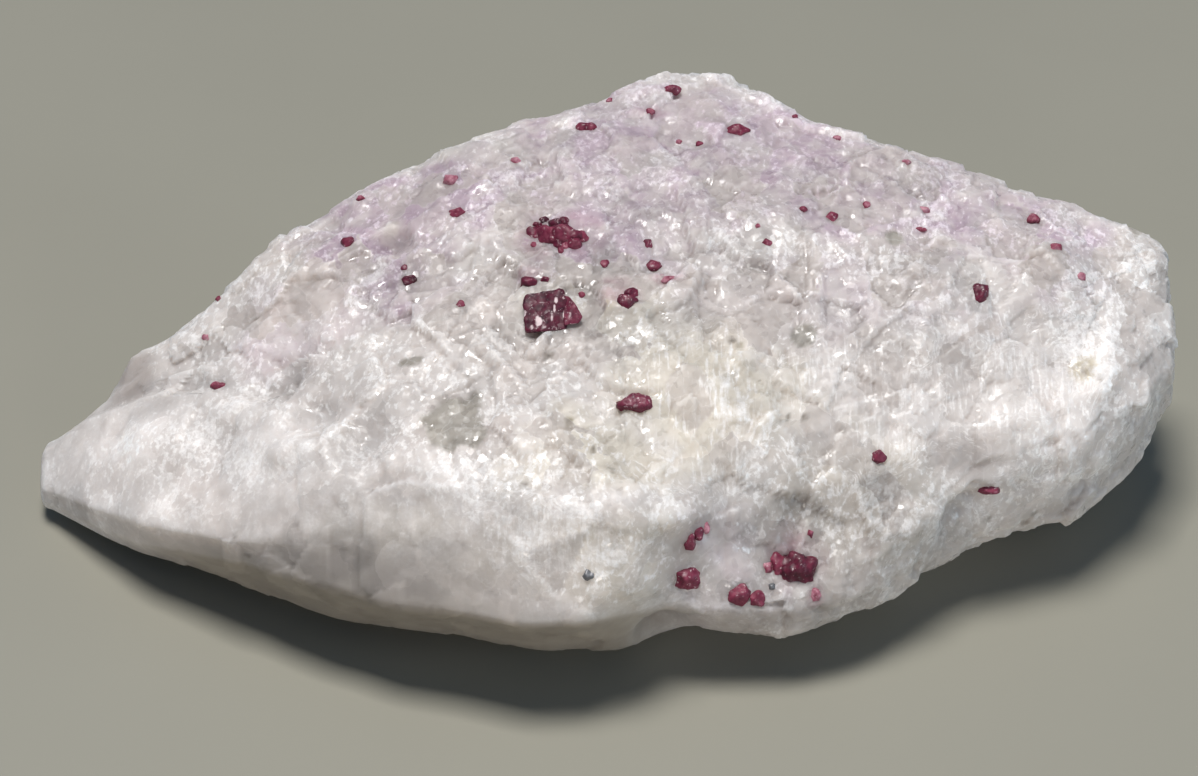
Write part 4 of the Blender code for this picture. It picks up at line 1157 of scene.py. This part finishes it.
def streaks(points):
    """One in the middle of each listed streak as it shows from the eye, none at its ragged rim."""
    away = points - EYE
    scale = VIEW_DISTANCE / -(away @ TOWARD_EYE)
    right, up = (away @ VIEW_RIGHT) * scale, (away @ VIEW_UP) * scale
    ragged = STREAK_RAGGED * summed_lumps(points, STREAK_FRAY)
    strongest = np.zeros(len(points))
    for spot_right, spot_up, width, height, strength in PALE_STREAKS_AND_GLINTS:
        distance = np.hypot((right - spot_right) / width, (up - spot_up) / height) * 2.0
        share = np.clip(STREAK_CORE - STREAK_FALL * distance + ragged, 0.0, 1.0)
        strongest = np.maximum(strongest, strength * share)
    return strongest


def lay_crystal(name, node, bodies, grid, material):
    """One piece from one or more faceted bodies, in place of its solid."""
    faces = closed_faces(grid[0] - 2, grid[1])
    points = np.concatenate([body for body, _ in bodies])
    numbers = {"pale": np.concatenate([paleness for _, paleness in bodies]), "streak": streaks(points)}
    all_faces = []
    for count in range(len(bodies)):
        start = count * len(bodies[0][0])
        all_faces += [tuple(start + corner for corner in face) for face in faces]
    piece = lay_mesh(name, points, all_faces, material, numbers)
    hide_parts(node)
    return piece


print(len(PALE_STREAKS_AND_GLINTS), "streaks, the longest", max(max(row[2:4]) for row in PALE_STREAKS_AND_GLINTS), "mm")

# %% [markdown]
# ## The finish of the spinel
#
# The crystals are glassy and so deeply coloured that the large ones look nearly black in their
# middle. Noise and each crystal's own paleness move the colour from nearly black over crimson to pink,
# which is the look of a small crystal under a skin of calcite. Veins and the listed streaks are the
# calcite in the cracks, and their pale colour also holds painted reflections off the cracks. The two
# grey grains are another mineral with a dull metal sheen.

# %% Spinel and grey grains
SPINEL_DARK = (0.034, 0.004, 0.011, 1.0)
SPINEL_DEEP = (0.105, 0.007, 0.026, 1.0)
SPINEL_CRIMSON = (0.21, 0.030, 0.062, 1.0)
SPINEL_PINK = (0.52, 0.26, 0.31, 1.0)
STREAK_AND_GLINT_COLOUR = (0.74, 0.60, 0.60, 1.0)
GRAIN_DARK = (0.07, 0.07, 0.075, 1.0)
GRAIN_LIGHT = (0.26, 0.26, 0.27, 1.0)
# Noise: repeats per metre, detail and roughness
SPINEL_CLOUDS = (2400.0, 4.0, 0.65)
SPINEL_VEINS = (4200.0, 4.0, 0.7)
SPINEL_SHEEN = (4000.0, 3.0)
GRAIN_SHEEN = (5000.0, 3.0)
SPINEL_FACETS = (2800.0, 0.5)
SPINEL_BUMP = 0.7
CLOUD_WEIGHT = 1.3
PALE_WEIGHT = 0.85
# Ranges of cloudiness over which each colour takes the place of the one before
DEEP_RANGE = (0.45, 0.85)
CRIMSON_RANGE = (0.85, 1.20)
PINK_RANGE = (1.20, 1.65)
VEIN_RANGE = (0.60, 0.67, 0.0, 0.55)
SPINEL_ROUGHNESS = (0.3, 0.7, 0.35, 0.70)
GRAIN_ROUGHNESS = (0.3, 0.7, 0.4, 0.6)
SPINEL_IOR = 1.72
SPINEL_SPECULAR = 0.24
GRAIN_METALLIC = 0.5


def spinel_material():
    """Nearly black, crimson or pink by noise and paleness, with calcite and painted reflections in the veins
    and the streaks.
    """
    material, tree, shader = new_material("spinel")
    place = object_place(tree)
    clouds = noise(tree, place, *SPINEL_CLOUDS)
    cloudy = weighted(tree, (clouds, CLOUD_WEIGHT), (number(tree, "pale"), PALE_WEIGHT))
    vein = rescaled(tree, noise(tree, place, *SPINEL_VEINS), *VEIN_RANGE)
    colour = layered(
        tree, SPINEL_DARK,
        (rescaled(tree, cloudy, *DEEP_RANGE), SPINEL_DEEP),
        (rescaled(tree, cloudy, *CRIMSON_RANGE), SPINEL_CRIMSON),
        (rescaled(tree, cloudy, *PINK_RANGE), SPINEL_PINK),
        # calcite in the veins and the streaks, with painted reflections off the cracks
        (arithmetic(tree, "MAXIMUM", vein, number(tree, "streak")), STREAK_AND_GLINT_COLOUR),
    )
    feed(tree, shader.inputs["Base Color"], colour)
    sheen = noise(tree, place, *SPINEL_SHEEN)
    feed(tree, shader.inputs["Roughness"], rescaled(tree, sheen, *SPINEL_ROUGHNESS))
    facets, _ = tilted_cells(tree, place, *SPINEL_FACETS)
    bumped(tree, shader, facets, SPINEL_BUMP)
    shader.inputs["IOR"].default_value = SPINEL_IOR
    shader.inputs["Specular IOR Level"].default_value = SPINEL_SPECULAR
    return material


def grain_material():
    """Dark and light grey in fine clouds, rougher where it is lighter."""
    material, tree, shader = new_material("grey_grain")
    sheen = noise(tree, object_place(tree), *GRAIN_SHEEN)
    feed(tree, shader.inputs["Base Color"], blend(tree, sheen, GRAIN_DARK, GRAIN_LIGHT))
    feed(tree, shader.inputs["Roughness"], rescaled(tree, sheen, *GRAIN_ROUGHNESS))
    shader.inputs["Metallic"].default_value = GRAIN_METALLIC
    return material


spinel = spinel_material()
grey_metal = grain_material()
print("materials:", [material.name for material in (marble, spinel, grey_metal)])

# %% [markdown]
# ## The single crystals
#
# Each crystal is a piece of its own, as in the solid. A crystal's number is its seed, so it turns as
# its solid does. The second and third body of a twin have seeds of their own.

# %% The single crystals
TWIN_SEED_STEP = 100

for count, crystal in enumerate(CRYSTALS, 1):
    members = TWINS.get(count, (crystal,))
    bodies = [small_body(member, count + TWIN_SEED_STEP * twin) for twin, member in enumerate(members)]
    lay_crystal(f"crystal_{count:02d}", f"spinel_{count:02d}", bodies, CRYSTAL_GRID, spinel)
print(len(CRYSTALS), "single crystals, of which", len(TWINS), "are grown together")

# %% [markdown]
# ## The large crystal
#
# The large crystal is broken: a slab with a seven-sided outline that leans in as it goes down, and a
# splinter beside it. Their planes come from the outlines' own edges, with two front planes that meet
# in a blunt ridge.

# %% The large crystal and its splinter
# Outlines: corners to the right and up from the place in the view, in millimetres
LARGE_AT = (-2.6, 4.1)
LARGE_OUTLINE = (
    (-1.6, 0.8), (-1.4, 1.1), (0.6, 1.08), (0.72, 0.5), (0.75, -0.95), (-0.4, -1.15), (-1.4, -1.15),
)
SPLINTER_AT = (-1.5, 4.05)
SPLINTER_OUTLINE = ((-0.5, 0.95), (-0.2, 0.85), (0.5, -0.3), (0.35, -0.6), (-0.3, -0.7), (-0.45, 0.0))
SPLINTER_PALENESS = 0.3
# The ways of the two front planes, how far in front they and how far behind the back plane lies, in
# millimetres, and how much the sides lean in for each step down
LARGE_FRONT_WAYS = ((0.12, -0.1, 1.0), (-0.35, 0.1, 0.95))
LARGE_FRONT = 0.45
LARGE_BACK = 1.8
LARGE_LEAN = 0.22
LARGE_LIFT = 0.2
LARGE_UNEVENNESS = 0.3
LARGE_GRID = (110, 160)


def outline_planes(outline):
    """A plane for each edge of a flat outline, leaning in as it goes down, two front planes and a back."""
    corner = np.array(outline)
    edge = np.roll(corner, -1, axis=0) - corner
    across = unit(np.stack((-edge[:, 1], edge[:, 0]), -1))
    distance = (across * corner).sum(-1)
    across = across * np.sign(distance)[:, None]
    distance = np.abs(distance)[:, None]
    sides = np.concatenate((across, np.full((len(across), 1), -LARGE_LEAN)), axis=1) / distance
    front = np.array(LARGE_FRONT_WAYS) / LARGE_FRONT
    back = np.array(((0.0, 0.0, -1.0),)) / LARGE_BACK
    return np.concatenate((sides, front, back))


def broken_body(spot, outline, paleness):
    """The points of a slab with an outline, lifted a little out of the marble, and their paleness."""
    points = crystal_points(spot, outline_planes(outline), -LARGE_LIFT, LARGE_GRID, LARGE_UNEVENNESS)
    return points, np.full(len(points), paleness)


large = broken_body(LARGE_AT, LARGE_OUTLINE, 0.0)
splinter = broken_body(SPLINTER_AT, SPLINTER_OUTLINE, SPLINTER_PALENESS)
lay_crystal("large_crystal", "large_spinel", [large, splinter], LARGE_GRID, spinel)
print("large crystal", np.round(np.ptp(large[0], axis=0), 1), "mm")

# %% [markdown]
# ## The cluster and the grey grains
#
# The ragged cluster is seventeen small octahedra grown into each other. The grey grains are made as
# the crystals are, from one body each, and only their finish is another.

# %% The cluster and the grey grains
GREY_SEED = 200
DARK_SEED = 201
CLUSTER_SEED = 300

bodies = [small_body(member, CLUSTER_SEED + count) for count, member in enumerate(CLUSTER)]
lay_crystal("crystal_cluster", "spinel_cluster", bodies, CRYSTAL_GRID, spinel)
grain = small_body(GREY_GRAIN, GREY_SEED)
lay_crystal("metal_grey_grain", "grey_grain", [grain], CRYSTAL_GRID, grey_metal)
grain = small_body(DARK_GRAIN, DARK_SEED)
lay_crystal("metal_dark_grain", "dark_grain", [grain], CRYSTAL_GRID, grey_metal)
print("a cluster of", len(CLUSTER), "bodies, and two grey grains")

# %% [markdown]
# ## Table and light
#
# The specimen lies on a plain warm-grey table. A soft window hangs nearly overhead, a little to the
# left and behind, so the shadow is short and falls forward. A weak warm fill comes from the front and
# a weak cool one from the right, and a dim blue surround tints the shadows.

# %% Table and light
TABLE_COLOUR = (0.270, 0.258, 0.209, 1.0)
TABLE_TONE = 0.93
TABLE_CLOUDS = (60.0, 5.0)
TABLE_ROUGHNESS = 0.55
# In metres, and the signs of its corners
TABLE_SIZE = 1.2
TABLE_CORNERS = ((-1, -1), (1, -1), (1, 1), (-1, 1))
# The way to each light, its distance and size in millimetres, its power in watts and its colour
LIGHTS = {
    "window": ((-0.07, 0.03, 1.0), 420.0, 130.0, 2.15, (1.0, 0.98, 0.955)),
    "fill": ((0.15, -1.0, 0.13), 450.0, 100.0, 0.54, (1.0, 0.95, 0.90)),
    "side": ((1.0, -0.25, 0.16), 450.0, 110.0, 0.45, (0.72, 0.88, 1.0)),
}
SURROUND_COLOUR = (0.22, 0.52, 1.0, 1.0)
SURROUND_STRENGTH = 0.15


def table():
    """A square sheet around the origin in two close tones."""
    mesh = bpy.data.meshes.new("table")
    half = TABLE_SIZE / 2.0
    mesh.from_pydata([(x * half, y * half, 0.0) for x, y in TABLE_CORNERS], [], [(0, 1, 2, 3)])
    material, tree, shader = new_material("table")
    clouds = noise(tree, object_place(tree), *TABLE_CLOUDS)
    darker = tuple(TABLE_TONE * part for part in TABLE_COLOUR[:3]) + (1.0,)
    feed(tree, shader.inputs["Base Color"], blend(tree, clouds, TABLE_COLOUR, darker))
    shader.inputs["Roughness"].default_value = TABLE_ROUGHNESS
    mesh.materials.append(material)
    floor = bpy.data.objects.new("table", mesh)
    bpy.context.scene.collection.objects.link(floor)


def area_light(name, way, distance, size, power, colour):
    """A square light at a distance in millimetres, aimed at the specimen."""
    data = bpy.data.lights.new(name, "AREA")
    data.size = size * MM
    data.energy = power
    data.color = colour
    light = bpy.data.objects.new(name, data)
    bpy.context.scene.collection.objects.link(light)
    aim(light, VIEW_CENTRE + unit(np.array(way)) * distance, VIEW_CENTRE)


table()
for name, setting in LIGHTS.items():
    area_light(name, *setting)
world = bpy.data.worlds.new("room")
world.use_nodes = True
world.node_tree.nodes["Background"].inputs["Color"].default_value = SURROUND_COLOUR
world.node_tree.nodes["Background"].inputs["Strength"].default_value = SURROUND_STRENGTH
bpy.context.scene.world = world
bpy.context.scene.view_settings.view_transform = "Standard"
